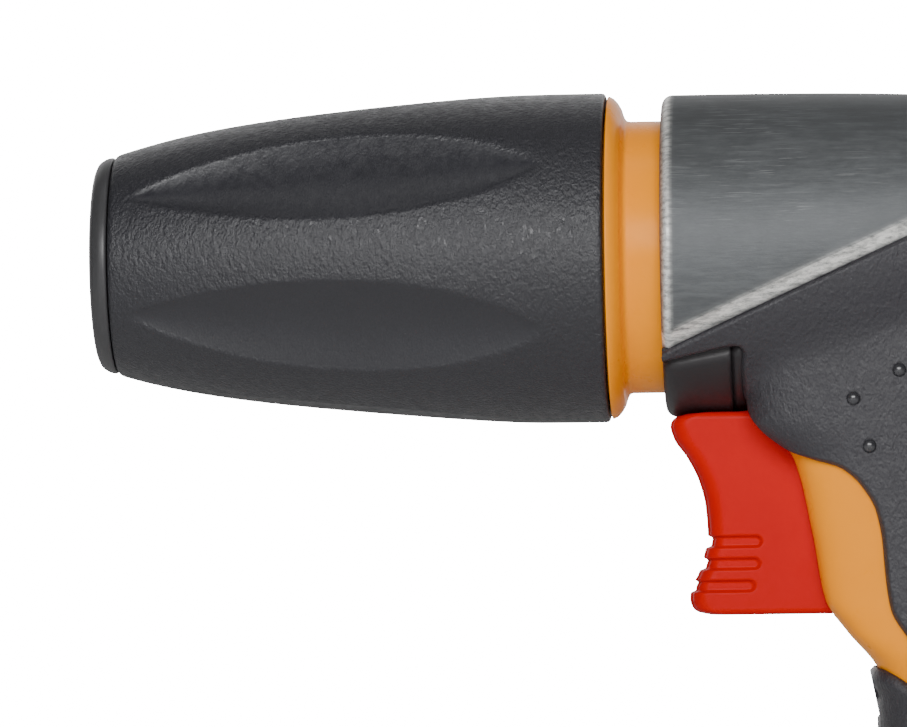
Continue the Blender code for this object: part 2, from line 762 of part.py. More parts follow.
def screw(name, head, shank_end, head_r=2.6, shank_r=1.3):
    """A pan-head screw about the X axis: the head's seat is at 0 and the point at shank_end."""
    drive = 1.1
    return turned(
        name,
        [
            (0, shank_r), (0, head_r), (head * 0.7, head_r), (head, head_r - 0.8), (head, drive),
            (head - 1.0, 0), (shank_end, 0), (shank_end + 1.2, shank_r),
        ],
        10,
    )


def shell_screws():
    made = []
    for i, (x, z) in enumerate(SHELL_SCREWS, 1):
        piece = screw(f"shell_screw_{i}", 2.2, -17.0)
        turn = Matrix.Rotation(math.pi / 2, 4, "Z")
        piece.data.transform(Matrix.Translation(Vector((x, SCREW_SEAT + 0.2, z)) * MM) @ turn)
        made.append(piece)
    return made


def shroud_screws():
    made = []
    for i, (x, face) in enumerate(SHROUD_SCREWS, 1):
        piece = screw(f"shroud_screw_{i}", 2.0, -3.0, head_r=3.8, shank_r=1.1)
        turn = Matrix.Rotation(math.pi / 2, 4, "Y")
        piece.data.transform(Matrix.Translation(Vector((x, 0, face - 1.1)) * MM) @ turn)
        made.append(piece)
    return made


def build():
    clear_scene()
    rubber = material("soft_rubber", (0.062, 0.062, 0.068), 0.62)
    dark = material("dark_plastic", (0.045, 0.045, 0.05), 0.38)
    orange = material("orange_plastic", (0.95, 0.42, 0.035), 0.32)
    red = material("red_plastic", (0.72, 0.055, 0.018), 0.4)
    metal = material("cast_metal", (0.33, 0.35, 0.36), 0.42, 0.9)
    brass = material("brass", (0.72, 0.52, 0.22), 0.3, 1.0)
    steel = material("steel", (0.6, 0.6, 0.62), 0.3, 1.0)
    seal = material("seal_rubber", (0.02, 0.02, 0.02), 0.5)
    pieces = {
        rubber: [nozzle_grip(), *grip_covers()],
        dark: [
            nozzle_bezel(), front_collar(), barrel(), valve_chamber(), gland_nut(), seat_cap(),
            base_ring(),
        ],
        orange: [nozzle_sleeve(), *shells(), inlet_spigot()],
        red: [trigger()],
        metal: [top_shroud()],
        brass: [spray_tip(), jet_pin(), shuttle_tube()],
        steel: [
            return_spring(), trigger_pin(), riser_pipe(), inlet_filter(), *shell_screws(),
            *shroud_screws(),
        ],
        seal: [
            nozzle_o_ring(),
            shuttle_front_o_ring(),
            o_ring("gland_o_ring", 37.85, 6.45, 0.9, FINE),
            o_ring("seat_cap_o_ring", 62.0, 9.2, 0.35, MEDIUM),
            seat_washer(),
            along_pipe(o_ring("riser_top_o_ring", 17.4, 5.32, 0.4, FINE)),
            along_pipe(o_ring("riser_foot_o_ring", 95.6, 5.32, 0.4, FINE)),
            along_pipe(o_ring("inlet_o_ring", 134.7, 6.6, 0.95, MEDIUM)),
        ],
    }
    origin = bpy.data.objects.new("gun_origin", None)
    origin.location = -CENTRE * MM
    pivot = bpy.data.objects.new("trigger_pivot", None)
    pivot.location = Vector((PIN[0], 0, PIN[1])) * MM
    pivot.parent = origin
    for empty in (origin, pivot):
        bpy.context.scene.collection.objects.link(empty)
    for finish_material, objects in pieces.items():
        for obj in objects:
            obj.data.materials.clear()
            obj.data.materials.append(finish_material)
            obj.data.shade_smooth()
            obj.data.set_sharp_from_angle(angle=math.radians(32))
            obj.parent = origin
    lever = bpy.data.objects["trigger"]
    lever.data.transform(Matrix.Translation(-pivot.location))
    lever.parent = pivot


build()
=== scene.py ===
"""Looks of the hose spray nozzle: fine surfaces and finishes over its CAD frame.

Shapes are worked out in the gun's own millimetres: the nozzle's axis is X, x = 0 is the rear edge of the
rubber grip, the handle hangs down -Z. place() turns them into the frame's metres.
"""

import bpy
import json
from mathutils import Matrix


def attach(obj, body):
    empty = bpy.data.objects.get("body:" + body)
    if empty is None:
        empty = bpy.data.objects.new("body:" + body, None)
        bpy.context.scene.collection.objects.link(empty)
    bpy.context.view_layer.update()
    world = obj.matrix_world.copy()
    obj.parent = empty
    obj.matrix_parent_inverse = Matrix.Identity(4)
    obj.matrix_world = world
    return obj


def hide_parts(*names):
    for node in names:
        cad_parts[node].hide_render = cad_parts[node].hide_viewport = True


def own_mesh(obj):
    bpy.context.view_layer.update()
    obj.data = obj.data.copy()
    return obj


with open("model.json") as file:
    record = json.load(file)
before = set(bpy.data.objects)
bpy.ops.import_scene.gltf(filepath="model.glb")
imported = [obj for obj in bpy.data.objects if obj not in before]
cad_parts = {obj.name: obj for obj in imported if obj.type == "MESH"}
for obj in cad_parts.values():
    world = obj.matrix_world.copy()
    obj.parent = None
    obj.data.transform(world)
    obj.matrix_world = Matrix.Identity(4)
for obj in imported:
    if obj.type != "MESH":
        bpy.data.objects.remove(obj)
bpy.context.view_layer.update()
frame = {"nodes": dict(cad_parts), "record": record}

import json
import math

import bmesh
import bpy
import numpy as np
from mathutils import Matrix, Vector

MM = 0.001
CENTRE = np.array([7.7, 0.0, -56.9])

# Nozzle grip
GRIP_LENGTH = 73.8
GRIP_REAR_R = 24.7
GRIP_FRONT_R = 16.6
GRIP_SWELL = 2.75
SCALLOP_COUNT = 6
SCALLOP_TURN = math.radians(33)
SCALLOP_X = -40.0
SCALLOP_HALF_LENGTH = 31.0
SCALLOP_HALF_ANGLE = math.radians(18.5)
SCALLOP_DEPTH = 2.3

# Body: x, top, bottom, half width
BODY_FRONT = 8.4
BODY_X = [0.0, 8.4, 20.0, 32.0, 44.0, 55.0, 65.0, 74.0, 82.0, 88.0, 92.3]
BODY_TOP = [24.1, 24.1, 24.1, 24.0, 23.7, 22.9, 21.2, 18.6, 15.2, 12.0, 10.2]
BODY_BOTTOM = [-24.1, -24.1, -24.1, -22.0, -19.0, -16.5, -15.0, -13.0, -10.5, -7.8, -5.8]
BODY_HALF = [24.1, 24.1, 24.1, 23.9, 23.2, 21.6, 19.4, 16.6, 13.2, 9.9, 8.0]
TAIL_START, TAIL_TIP = 84.0, 91.85
# Handle: depth below the nozzle's axis, front, back, half width, squareness
HANDLE_DEPTH = [4.0, 7.0, 14.0, 24.5, 31.0, 42.0, 52.0, 57.0, 63.0, 67.0, 72.0, 86.0, 97.0, 114.0]
HANDLE_FRONT = [20.3, 20.3, 20.2, 20.3, 26.0, 28.6, 30.5, 33.9, 38.6, 39.6, 39.6, 41.6, 43.6, 44.6]
HANDLE_BACK = [65.0, 66.0, 69.5, 70.6, 71.2, 72.6, 74.4, 75.4, 76.6, 77.3, 78.2, 79.6, 80.8, 84.0]
HANDLE_HALF = [12.0, 17.5, 19.0, 18.5, 18.0, 17.2, 16.6, 16.4, 16.2, 16.1, 16.0, 15.9, 16.2, 17.2]
HANDLE_SQUARE = [5.0, 5.0, 5.0, 4.8, 4.6, 5.0, 5.6, 5.4, 3.8, 3.2, 2.9, 2.6, 2.7, 2.8]
UNION_POWER = 16.0
# Where the tail's underside meets the handle's back
CORNER = (69.8, -14.3)

PIPE_LEAN = math.radians(8.0)
PIPE_TOP_X = 47.3
HANDLE_FOOT = 106.9

SHROUD_EDGE = [(0.0, -18.6), (8.4, -14.75), (45.0, 1.7), (62.0, 9.3), (76.0, 14.6), (100.0, 20.0)]
STRIP_EDGE = [(0.0, -18.3), (20.5, -14.5)]
COVER_EDGE = [
    (8.4, -16.45),
    (19.6, -14.35),
    (20.25, -15.2),
    (20.0, -17.2),
    (20.1, -20.4),
    (20.45, -23.6),
    (22.1, -26.3),
    (24.75, -28.6),
    (27.4, -30.2),
    (30.4, -31.1),
    (33.8, -32.0),
    (36.1, -33.5),
    (37.9, -35.6),
    (39.4, -38.3),
    (40.3, -42.5),
    (40.8, -48.6),
    (41.5, -53.2),
    (43.9, -57.4),
    (47.5, -62.8),
    (51.6, -69.3),
]
LOWER_GRIP_EDGE = [(51.6, -69.3), (47.5, -66.4), (43.8, -64.7), (41.3, -63.3), (38.4, -62.2), (28.0, -60.0)]

SLOT_HALF = 8.9
SLOT_END = -54.7
LIP = 1.5
TRIGGER_HALF = 8.5
TRIGGER_Z = [23.3, 23.9, 25.4, 27.4, 30.2, 33.7, 37.3, 41.6, 44.8, 47.6, 49.6, 51.4, 53.0, 53.7]
TRIGGER_FRONT = [12.0, 10.3, 9.45, 10.0, 11.9, 13.6, 14.5, 14.8, 14.2, 13.3, 12.2, 12.05, 12.7, 14.4]
TRIGGER_SLOTS = [(-42.8, 22.6), (-46.1, 22.3), (-49.4, 21.5)]


# Shapes in numbers ---------------------------------------------------------------------------


def place(points):
    """Turns gun millimetres into frame metres."""
    return (np.asarray(points, float) - CENTRE) * MM


def flow(stations, values, q):
    """Smooth curve through stations: cubic pieces whose slope at a station is the harmonic mean of its
    neighbours' slopes, so the curve never overshoots."""
    s, v = np.asarray(stations, float), np.asarray(values, float)
    q = np.clip(q, s[0], s[-1])
    step = np.diff(v) / np.diff(s)
    slope = np.concatenate([step[:1], np.zeros(len(s) - 2), step[-1:]])
    a, b = step[:-1], step[1:]
    same = a * b > 0
    slope[1:-1] = np.where(same, 2 * a * b / np.where(same, a + b, 1.0), 0.0)
    i = np.clip(np.searchsorted(s, q, "right") - 1, 0, len(s) - 2)
    h = s[i + 1] - s[i]
    t = (q - s[i]) / h
    return (
        (1 + 2 * t) * (1 - t) ** 2 * v[i]
        + t * (1 - t) ** 2 * h * slope[i]
        + t**2 * (3 - 2 * t) * v[i + 1]
        + t**2 * (t - 1) * h * slope[i + 1]
    )


def rounded_line(points, count=12):
    """Smooth line through the given points, by the same cubic pieces over the length along them."""
    p = np.asarray(points, float)
    along = np.concatenate([[0], np.cumsum(np.hypot(*np.diff(p, axis=0).T))])
    q = np.linspace(0, along[-1], count * (len(p) - 1) + 1)
    return np.stack([flow(along, p[:, 0], q), flow(along, p[:, 1], q)], -1)


def smooth_step(low, high, q):
    """Rises from 0 at low to 1 at high with no kink at either end."""
    t = np.clip((q - low) / (high - low), 0, 1)
    return t * t * (3 - 2 * t)


def make_piece(name, points, faces, values=None):
    """A smooth-shaded mesh piece from arrays of points in gun millimetres and of faces."""
    mesh = bpy.data.meshes.new(name)
    used, faces = np.unique(faces, return_inverse=True)
    faces = faces.reshape(-1, 4)
    mesh.from_pydata(place(points[used]).tolist(), [], faces.tolist())
    for key, value in (values or {}).items():
        layer = mesh.attributes.new(key, "FLOAT", "POINT")
        layer.data.foreach_set("value", np.asarray(value, np.float32).ravel()[used])
    mesh.validate()
    mesh.shade_smooth()
    obj = bpy.data.objects.new(name, mesh)
    bpy.context.scene.collection.objects.link(obj)
    return obj


def grid_faces(rows, columns, wrap_rows=False, wrap_columns=False):
    """Four-cornered faces of a grid of points that may close on itself either way."""
    index = np.arange(rows * columns).reshape(rows, columns)
    if wrap_rows:
        index = np.concatenate([index, index[:1]], 0)
    if wrap_columns:
        index = np.concatenate([index, index[:, :1]], 1)
    return np.stack([index[:-1, :-1], index[:-1, 1:], index[1:, 1:], index[1:, :-1]], -1).reshape(-1, 4)


def tidy(obj, sheet=False):
    """Merges coincident points and points the faces outwards: a closed piece by its volume, an open sheet
    by whether its flanks face away from the middle plane."""
    bm = bmesh.new()
    bm.from_mesh(obj.data)
    bmesh.ops.remove_doubles(bm, verts=bm.verts, dist=2e-6)
    bmesh.ops.dissolve_degenerate(bm, edges=bm.edges, dist=1e-7)
    bmesh.ops.recalc_face_normals(bm, faces=bm.faces)
    outward = bm.calc_volume(signed=True)
    bm.to_mesh(obj.data)
    bm.free()
    mesh = obj.data
    if sheet:
        count = len(mesh.polygons)
        normal, middle, area = np.empty(3 * count), np.empty(3 * count), np.empty(count)
        mesh.polygons.foreach_get("normal", normal)
        mesh.polygons.foreach_get("center", middle)
        mesh.polygons.foreach_get("area", area)
        outward = np.sum(normal[1::3] * np.sign(middle[1::3]) * area)
    if outward < 0:
        mesh.flip_normals()
    mesh.shade_smooth()
    return obj


def with_wall(obj, thickness):
    """Gives an open sheet a wall on its inner side."""
    wall = obj.modifiers.new("wall", "SOLIDIFY")
    wall.thickness = thickness * MM
    wall.offset = -1
    return obj


def rounded_profile(profile, fillet, cuts=4):
    """Rounds each corner of a closed section with a short parabola that starts and ends fillet away."""
    p = np.asarray(profile, float)
    before, after = np.roll(p, 1, 0) - p, np.roll(p, -1, 0) - p
    near, far = np.linalg.norm(before, axis=1), np.linalg.norm(after, axis=1)
    reach = np.minimum(fillet, 0.42 * np.minimum(near, far))
    reach = np.where(p[:, 1] < 1e-6, 0.0, reach)[:, None]
    a = p + before / near[:, None] * reach
    b = p + after / far[:, None] * reach
    t = np.linspace(0, 1, cuts + 1)[:, None, None]
    return ((1 - t) ** 2 * a + 2 * t * (1 - t) * p + t**2 * b).transpose(1, 0, 2).reshape(-1, 2)


def lathe(name, profile, fillet=0.35, steps=144, down_pipe=False, radius_of=None):
    """A turned piece: each (x, r) of its closed section goes round the X axis as (x, r sin a, r cos a).
    down_pipe lays it on the riser's axis. radius_of(x, a, r) may change the radius round the turn."""
    section = rounded_profile(profile, fillet)
    angle = np.arange(steps) * math.tau / steps
    x = np.repeat(section[:, :1], steps, 1)
    r = np.repeat(section[:, 1:], steps, 1)
    if radius_of is not None:
        r = radius_of(x, angle[None, :], r)
    points = np.stack([x, r * np.sin(angle), r * np.cos(angle)], -1)
    if down_pipe:
        points = lay_on_pipe(points)
    return tidy(make_piece(name, points.reshape(-1, 3), grid_faces(*x.shape, True, True)))


def lay_on_pipe(points):
    """Turns points about the X axis into points about the riser's leaning axis, +X pointing down it."""
    x, y, z = np.moveaxis(points, -1, 0)
    s, c = math.sin(PIPE_LEAN), math.cos(PIPE_LEAN)
    return np.stack([PIPE_TOP_X + x * s + z * c, y, z * s - x * c], -1)


def body_section(x):
    """Centre height, half height and half width of the body at x, closing to a point at the tail's tip."""
    top, bottom, half = (flow(BODY_X, v, x) for v in (BODY_TOP, BODY_BOTTOM, BODY_HALF))
    t = np.clip((x - TAIL_START) / (TAIL_TIP - TAIL_START), 0, 1)
    cap = np.sqrt(np.maximum(1 - t**3, 0))
    return (top + bottom) / 2, (top - bottom) / 2 * cap, half * cap


def handle_section(z):
    """Front, back, half width and squareness of the handle at height z."""
    return [flow(HANDLE_DEPTH, v, -z) for v in (HANDLE_FRONT, HANDLE_BACK, HANDLE_HALF, HANDLE_SQUARE)]


def half_width(x, z):
    """Half the casing's width at (x, z): the body's ellipse and the handle's superellipse, joined as the
    high-power mean of the two, so that they blend where they meet."""
    centre, high, wide = body_section(x)
    body = wide * np.sqrt(np.maximum(1 - ((z - centre) / np.maximum(high, 1e-6)) ** 2, 0))
    body = np.where(x > TAIL_TIP, 0, body)
    front, back, half, square = handle_section(z)
    across = np.abs((x - (front + back) / 2) / ((back - front) / 2))
    handle = half * np.maximum(1 - np.minimum(across, 1) ** square, 0) ** (1 / square)
    handle = handle * (z < -4.0) * smooth_step(2.0, 9.0, -z)
    return (body**UNION_POWER + handle**UNION_POWER + 1e-12) ** (1 / UNION_POWER)


def rail(points, knots, stations):
    """Points along a line at the stations, where knots pins given points of the line to given stations."""
    p = np.asarray(points, float)
    along = np.concatenate([[0], np.cumsum(np.hypot(*np.diff(p, axis=0).T))])
    at = [along[np.argmin(np.hypot(*(p - np.array(target)).T))] for _, target in knots]
    where = np.interp(stations, [station for station, _ in knots], at)
    return np.stack([np.interp(where, along, p[:, 0]), np.interp(where, along, p[:, 1])], -1)


def outline_front(z):
    """Points of the handle's front in the middle plane at heights z."""
    return np.stack([handle_section(z)[0], z], -1)


def outline_back(z):
    """Points of the handle's back in the middle plane at heights z."""
    return np.stack([handle_section(z)[1], z], -1)


def outline_over(x_start):
    """The casing's outline in the middle plane from x_start on its top, round the tail's tip and back
    under it to where it meets the handle's back. Its points crowd together at the tip."""
    cap = TAIL_TIP - (TAIL_TIP - TAIL_START) * np.linspace(1, 0, 50) ** 2
    x = np.concatenate([np.linspace(x_start, TAIL_START, 90)[:-1], cap])
    centre, high, _ = body_section(x)
    top = np.stack([x, centre + high], -1)
    under = np.stack([x, centre - high], -1)[::-1][1:]
    return np.concatenate([top, under[under[:, 0] > CORNER[0]], [CORNER]])


def ruled(inner, outer, share):
    """Straight lines from each point of one rail to its partner on the other, cut at the given shares."""
    share = np.broadcast_to(share, (len(inner), np.shape(share)[-1]))
    return inner[:, None] + (outer - inner)[:, None] * share[..., None]


def even_share(count):
    """Shares from 0 to 1 that crowd at both ends, as the cosine of an even angle, mixed with even ones."""
    return 0.4 - 0.4 * np.cos(np.linspace(0, math.pi, count)) + 0.2 * np.linspace(0, 1, count)


def lip_share(inner, outer, count):
    """Shares that start with short steps across a lip, fixed in millimetres, and then spread out."""
    length = np.linalg.norm(outer - inner, axis=1)[:, None]
    steps = np.array([0, 0.05, 0.15, 0.3, 0.48, 0.7, 0.95, 1.2, 1.5, 1.9]) * np.minimum(length / 5, 1)
    start = steps[:, -1:] / length
    rest = 0.5 * np.linspace(0, 1, count)[None, 1:] + 0.5 * even_share(count)[None, 1:]
    return np.concatenate([steps / length, start + (1 - start) * rest], 1)


def lift(flat, side, swell, left_shut=False, right_shut=False):
    """Raises (x, z) to the casing's surface on one side and moves it out by swell along the normal, which
    is the slope of half the square of the half width, since that stays finite where the surface turns over.
    A column that is shut lies in the middle plane."""
    x, z = flat[..., 0], flat[..., 1]
    y = half_width(x, z)
    y[:, 0] = np.where(left_shut, 0, y[:, 0])
    y[:, -1] = np.where(right_shut, 0, y[:, -1])
    e = 0.04
    along_x = (half_width(x + e, z) ** 2 - half_width(x - e, z) ** 2) / (4 * e)
    along_z = (half_width(x, z + e) ** 2 - half_width(x, z - e) ** 2) / (4 * e)
    normal = np.stack([-along_x, y, -along_z], -1)
    normal /= np.maximum(np.linalg.norm(normal, axis=-1, keepdims=True), 1e-9)
    raised = np.stack([x, y, z], -1) + normal * swell[..., None]
    raised[..., 1] = np.maximum(raised[..., 1], 0.12) * side
    return raised


def join_patches(name, patches):
    """One piece from several grids of points, whose shared borders merge."""
    points = np.concatenate([p.reshape(-1, 3) for p in patches])
    start = np.cumsum([0] + [p.shape[0] * p.shape[1] for p in patches])
    faces = np.concatenate([grid_faces(*p.shape[:2]) + s for p, s in zip(patches, start)])
    return tidy(make_piece(name, points, faces), True)


def distance_to(line, x, z):
    """Distance from each (x, z) to a line of many points."""
    ax, az = line[:-1].T
    dx, dz = (line[1:] - line[:-1]).T
    x, z = x[..., None], z[..., None]
    t = np.clip(((x - ax) * dx + (z - az) * dz) / np.maximum(dx * dx + dz * dz, 1e-12), 0, 1)
    return np.hypot(ax + t * dx - x, az + t * dz - z).min(-1)


# Finishes ------------------------------------------------------------------------------------


class Finish:
    """A procedural material built step by step from nodes on Object coordinates."""

    def __init__(self, name, colour, roughness, metallic=0.0, coat=0.0, coat_roughness=0.1, shine=0.5):
        self.made = bpy.data.materials.new(name)
        self.made.use_nodes = True
        self.nodes, self.links = self.made.node_tree.nodes, self.made.node_tree.links
        self.shader = self.nodes["Principled BSDF"]
        self.shader.inputs["Base Color"].default_value = (*colour, 1)
        self.shader.inputs["Roughness"].default_value = roughness
        self.shader.inputs["Metallic"].default_value = metallic
        self.shader.inputs["Coat Weight"].default_value = coat
        self.shader.inputs["Coat Roughness"].default_value = coat_roughness
        self.shader.inputs["Specular IOR Level"].default_value = shine
        self.colour = colour
        self.place = self.nodes.new("ShaderNodeTexCoord").outputs["Object"]
        self.height = None

    def node(self, kind, **inputs):
        """A new node with its inputs set or linked."""
        made = self.nodes.new(kind)
        for key, value in inputs.items():
            self.put(made.inputs[key.replace("_", " ")], value)
        return made

    def put(self, socket, value):
        """Links a socket to an output, or sets it to a plain value."""
        if isinstance(value, bpy.types.NodeSocket):
            self.links.new(value, socket)
        else:
            socket.default_value = value

    def stretched(self, scale, turn=(0, 0, 0)):
        """The object's own coordinates, stretched and turned."""
        made = self.node("ShaderNodeMapping", Vector=self.place)
        made.inputs["Scale"].default_value = scale
        made.inputs["Rotation"].default_value = turn
        return made.outputs["Vector"]

    def noise(self, scale, detail=4.0, rough=0.55, vector=None):
        """Cloudy noise around one half."""
        made = self.node("ShaderNodeTexNoise", Vector=vector or self.place, Scale=scale, Detail=detail)
        made.inputs["Roughness"].default_value = rough
        return made.outputs["Fac"]

    def cells(self, scale, vector=None, smooth=None):
        """Distance to the nearest of many scattered points, rounded off where smooth is given."""
        made = self.nodes.new("ShaderNodeTexVoronoi")
        made.feature = "SMOOTH_F1" if smooth else "F1"
        self.put(made.inputs["Vector"], vector or self.place)
        made.inputs["Scale"].default_value = scale
        if smooth:
            made.inputs["Smoothness"].default_value = smooth
        return made.outputs["Distance"]

    def ramp(self, value, low, high, to_low=0.0, to_high=1.0):
        """Maps low to to_low and high to to_high in a straight line, held at both ends."""
        made = self.node("ShaderNodeMapRange", Value=value)
        for key, number in (("From Min", low), ("From Max", high), ("To Min", to_low), ("To Max", to_high)):
            made.inputs[key].default_value = number
        return made.outputs["Result"]

    def sum(self, a, b, operation="ADD"):
        """Two values joined by a sum, or by another operation."""
        made = self.nodes.new("ShaderNodeMath")
        made.operation = operation
        self.put(made.inputs[0], a)
        self.put(made.inputs[1], b)
        return made.outputs[0]

    def attribute(self, name):
        """A value kept at the points of the mesh, 0 where the mesh has none."""
        made = self.nodes.new("ShaderNodeAttribute")
        made.attribute_name = name
        return made.outputs["Fac"]

    def mix(self, share, a, b):
        """Colour between a and b."""
        made = self.nodes.new("ShaderNodeMix")
        made.data_type = "RGBA"
        self.put(made.inputs[0], share)
        for socket, value in ((made.inputs[6], a), (made.inputs[7], b)):
            self.put(socket, (*value, 1) if isinstance(value, tuple) else value)
        return made.outputs[2]

    def tint(self, share, other):
        """Lays another colour over the base colour."""
        socket = self.shader.inputs["Base Color"]
        base = socket.links[0].from_socket if socket.links else self.colour
        self.links.new(self.mix(share, base, other), socket)
        return self

    def roughen(self, value, low, high, to_low, to_high):
        """Lets the roughness follow a value."""
        self.links.new(self.ramp(value, low, high, to_low, to_high), self.shader.inputs["Roughness"])
        return self

    def bump(self, value, depth, strength=1.0):
        """Adds a relief of the given depth in millimetres on top of those before it."""
        made = self.node("ShaderNodeBump", Height=value)
        made.inputs["Strength"].default_value = strength
        made.inputs["Distance"].default_value = depth * MM
        if self.height is not None:
            self.links.new(self.height, made.inputs["Normal"])
        self.height = made.outputs["Normal"]
        self.links.new(self.height, self.shader.inputs["Normal"])
        return self


def grained_rubber(name, colour, roughness, shine):
    """Dark soft rubber with a fine leather grain, a faint cloudiness and a few pale scuffs."""
    f = Finish(name, colour, roughness, shine=shine)
    grain = f.cells(2300.0, smooth=0.6)
    crease = f.noise(1500.0, 6.0, 0.62, f.stretched((1.0, 1.0, 0.55), (0, 0.5, 0)))
    smooth = f.ramp(f.attribute("hollow"), 0.0, 1.0, 1.0, 0.22)
    f.bump(f.sum(f.ramp(crease, 0.36, 0.64), smooth, "MULTIPLY"), 0.085, 1.0)
    f.bump(f.sum(grain, smooth, "MULTIPLY"), 0.075, 0.9)
    f.bump(f.noise(240.0, 3.0), 0.12, 0.35)
    f.tint(f.ramp(f.noise(60.0, 5.0), 0.35, 0.7, 0.0, 0.5), tuple(c * 1.25 for c in colour))
    specks = f.ramp(f.cells(420.0, vector=f.stretched((1.0, 1.0, 1.6))), 0.0, 0.055, 1.0, 0.0)
    rare = f.ramp(f.noise(300.0, 2.0), 0.62, 0.66)
    f.tint(f.sum(f.sum(specks, rare, "MULTIPLY"), 0.35, "MULTIPLY"), (0.35, 0.34, 0.33))
    f.roughen(f.noise(700.0, 5.0), 0.3, 0.7, roughness - 0.07, roughness + 0.1)
    return f.made


def moulded_plastic(name, colour, roughness, deep, grain=0.015, coat=0.3, shine=0.5):
    """Moulded plastic: faint flow marks in its colour, a fine orange-peel skin and a thin clear gloss."""
    f = Finish(name, colour, roughness, coat=coat, coat_roughness=0.18, shine=shine)
    f.tint(f.ramp(f.noise(55.0, 4.0), 0.3, 0.7, 0.0, 0.55), deep)
    f.bump(f.noise(900.0, 3.0), grain, 0.6)
    f.bump(f.noise(130.0, 2.0), grain * 4, 0.25)
    f.roughen(f.noise(260.0, 5.0), 0.3, 0.75, roughness - 0.05, roughness + 0.09)
    return f.made


def brushed_metal(name, colour=(0.088, 0.093, 0.097)):
    """Cast metal, brushed lengthways: fine streaks, mottled dull patches, thin scattered scratches that
    catch the light, and polish where the worn value marks an edge."""
    f = Finish(name, colour, 0.4, metallic=0.55)
    streaks = f.noise(1100.0, 8.0, 0.72, f.stretched((0.16, 1.0, 1.0), (0, 0.25, 0)))
    fine = f.noise(3200.0, 6.0, 0.65, f.stretched((0.1, 1.0, 1.0), (0, -0.12, 0)))
    clouds = f.noise(95.0, 6.0, 0.66)
    f.tint(f.ramp(streaks, 0.42, 0.62, 0.0, 0.6), (0.14, 0.149, 0.153))
    f.tint(f.ramp(clouds, 0.42, 0.64, 0.0, 0.4), (0.07, 0.074, 0.076))
    marks = None
    for turn, scale in ((0.5, 3600.0), (-0.9, 4200.0), (0.05, 3000.0)):
        line = f.noise(scale, 1.0, 0.5, f.stretched((0.05, 1.0, 1.0), (0, turn, 0)))
        line = f.ramp(line, 0.66, 0.72)
        marks = line if marks is None else f.sum(marks, line, "MAXIMUM")
    patch = f.ramp(f.noise(70.0, 2.0), 0.5, 0.6)
    f.tint(f.sum(f.sum(marks, patch, "MULTIPLY"), 0.28, "MULTIPLY"), (0.36, 0.37, 0.37))
    glint = f.noise(1500.0, 6.0, 0.75, f.stretched((0.3, 1.0, 1.0), (0, 0.43, 0)))
    worn = f.sum(f.attribute("worn"), f.ramp(glint, 0.36, 0.6, 0.25, 1.15), "MULTIPLY")
    f.tint(worn, (0.95, 0.94, 0.9))
    f.links.new(
        f.sum(f.ramp(streaks, 0.3, 0.7, 0.5, 0.64), f.sum(worn, 0.24, "MULTIPLY"), "SUBTRACT"),
        f.shader.inputs["Roughness"],
    )
    f.bump(fine, 0.03, 0.8)
    f.bump(streaks, 0.05, 0.6)
    return f.made


def bare_metal(name, colour, roughness, turned=True):
    """Plain metal with a fine turned or drawn grain and slight tarnish."""
    f = Finish(name, colour, roughness, metallic=1.0)
    f.tint(f.ramp(f.noise(160.0, 5.0), 0.4, 0.75, 0.0, 0.5), tuple(c * 0.6 for c in colour))
    f.bump(f.noise(1800.0, 4.0, 0.6, f.stretched((3.0 if turned else 0.2, 1.0, 1.0))), 0.01, 0.6)
    f.roughen(f.noise(400.0, 4.0), 0.3, 0.7, roughness - 0.06, roughness + 0.1)
    return f.made


def soft_seal(name):
    """Black sealing rubber, nearly smooth, with a little bloom."""
    f = Finish(name, (0.014, 0.014, 0.015), 0.42)
    f.tint(f.ramp(f.noise(300.0, 4.0), 0.45, 0.75, 0.0, 0.4), (0.05, 0.05, 0.052))
    f.bump(f.noise(900.0, 3.0), 0.02, 0.5)
    return f.made


RUBBER = grained_rubber("grained rubber", (0.0155, 0.0155, 0.0195), 0.37, 0.6)
COVER_RUBBER = grained_rubber("cover rubber", (0.023, 0.022, 0.027), 0.46, 0.6)
BEZEL = moulded_plastic("bezel plastic", (0.036, 0.036, 0.038), 0.4, (0.044, 0.044, 0.046), 0.03, 0.0)
DARK = moulded_plastic("dark plastic", (0.021, 0.019, 0.0205), 0.42, (0.026, 0.023, 0.025), 0.05, 0.0, 0.3)
ORANGE = moulded_plastic("orange plastic", (1.0, 0.33, 0.0), 0.3, (0.93, 0.28, 0.0), 0.015, 0.0, 0.14)
RED = moulded_plastic("red plastic", (0.56, 0.001, 0.0), 0.4, (0.45, 0.001, 0.0), 0.02, 0.0, 0.1)
METAL = brushed_metal("brushed shroud")
BRASS = bare_metal("turned brass", (0.72, 0.5, 0.2), 0.28)
STEEL = bare_metal("drawn steel", (0.55, 0.55, 0.56), 0.3, False)
SEAL = soft_seal("seal rubber")
BY_SLOT = {
    "soft_rubber": RUBBER,
    "dark_plastic": DARK,
    "bezel_plastic": BEZEL,
    "orange_plastic": ORANGE,
    "red_plastic": RED,
    "cast_metal": METAL,
    "brass": BRASS,
    "steel": STEEL,
    "seal_rubber": SEAL,
}


def join_frame(obj, body, slot, *nodes, material=None):
    """Gives a piece its finish, ties it to its body and hides the CAD nodes that it stands for."""
    obj.data.materials.clear()
    obj.data.materials.append(material or BY_SLOT[slot])
    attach(obj, body)
    if nodes:
        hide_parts(*nodes)
    return obj


# Twist nozzle --------------------------------------------------------------------------------


def grip_radius(x):
    """Outer radius at x: the rear radius less a drop that grows as a power of the way forward."""
    share = np.clip(-x / GRIP_LENGTH, 0, 1)
    return GRIP_REAR_R - (GRIP_REAR_R - GRIP_FRONT_R) * share**GRIP_SWELL


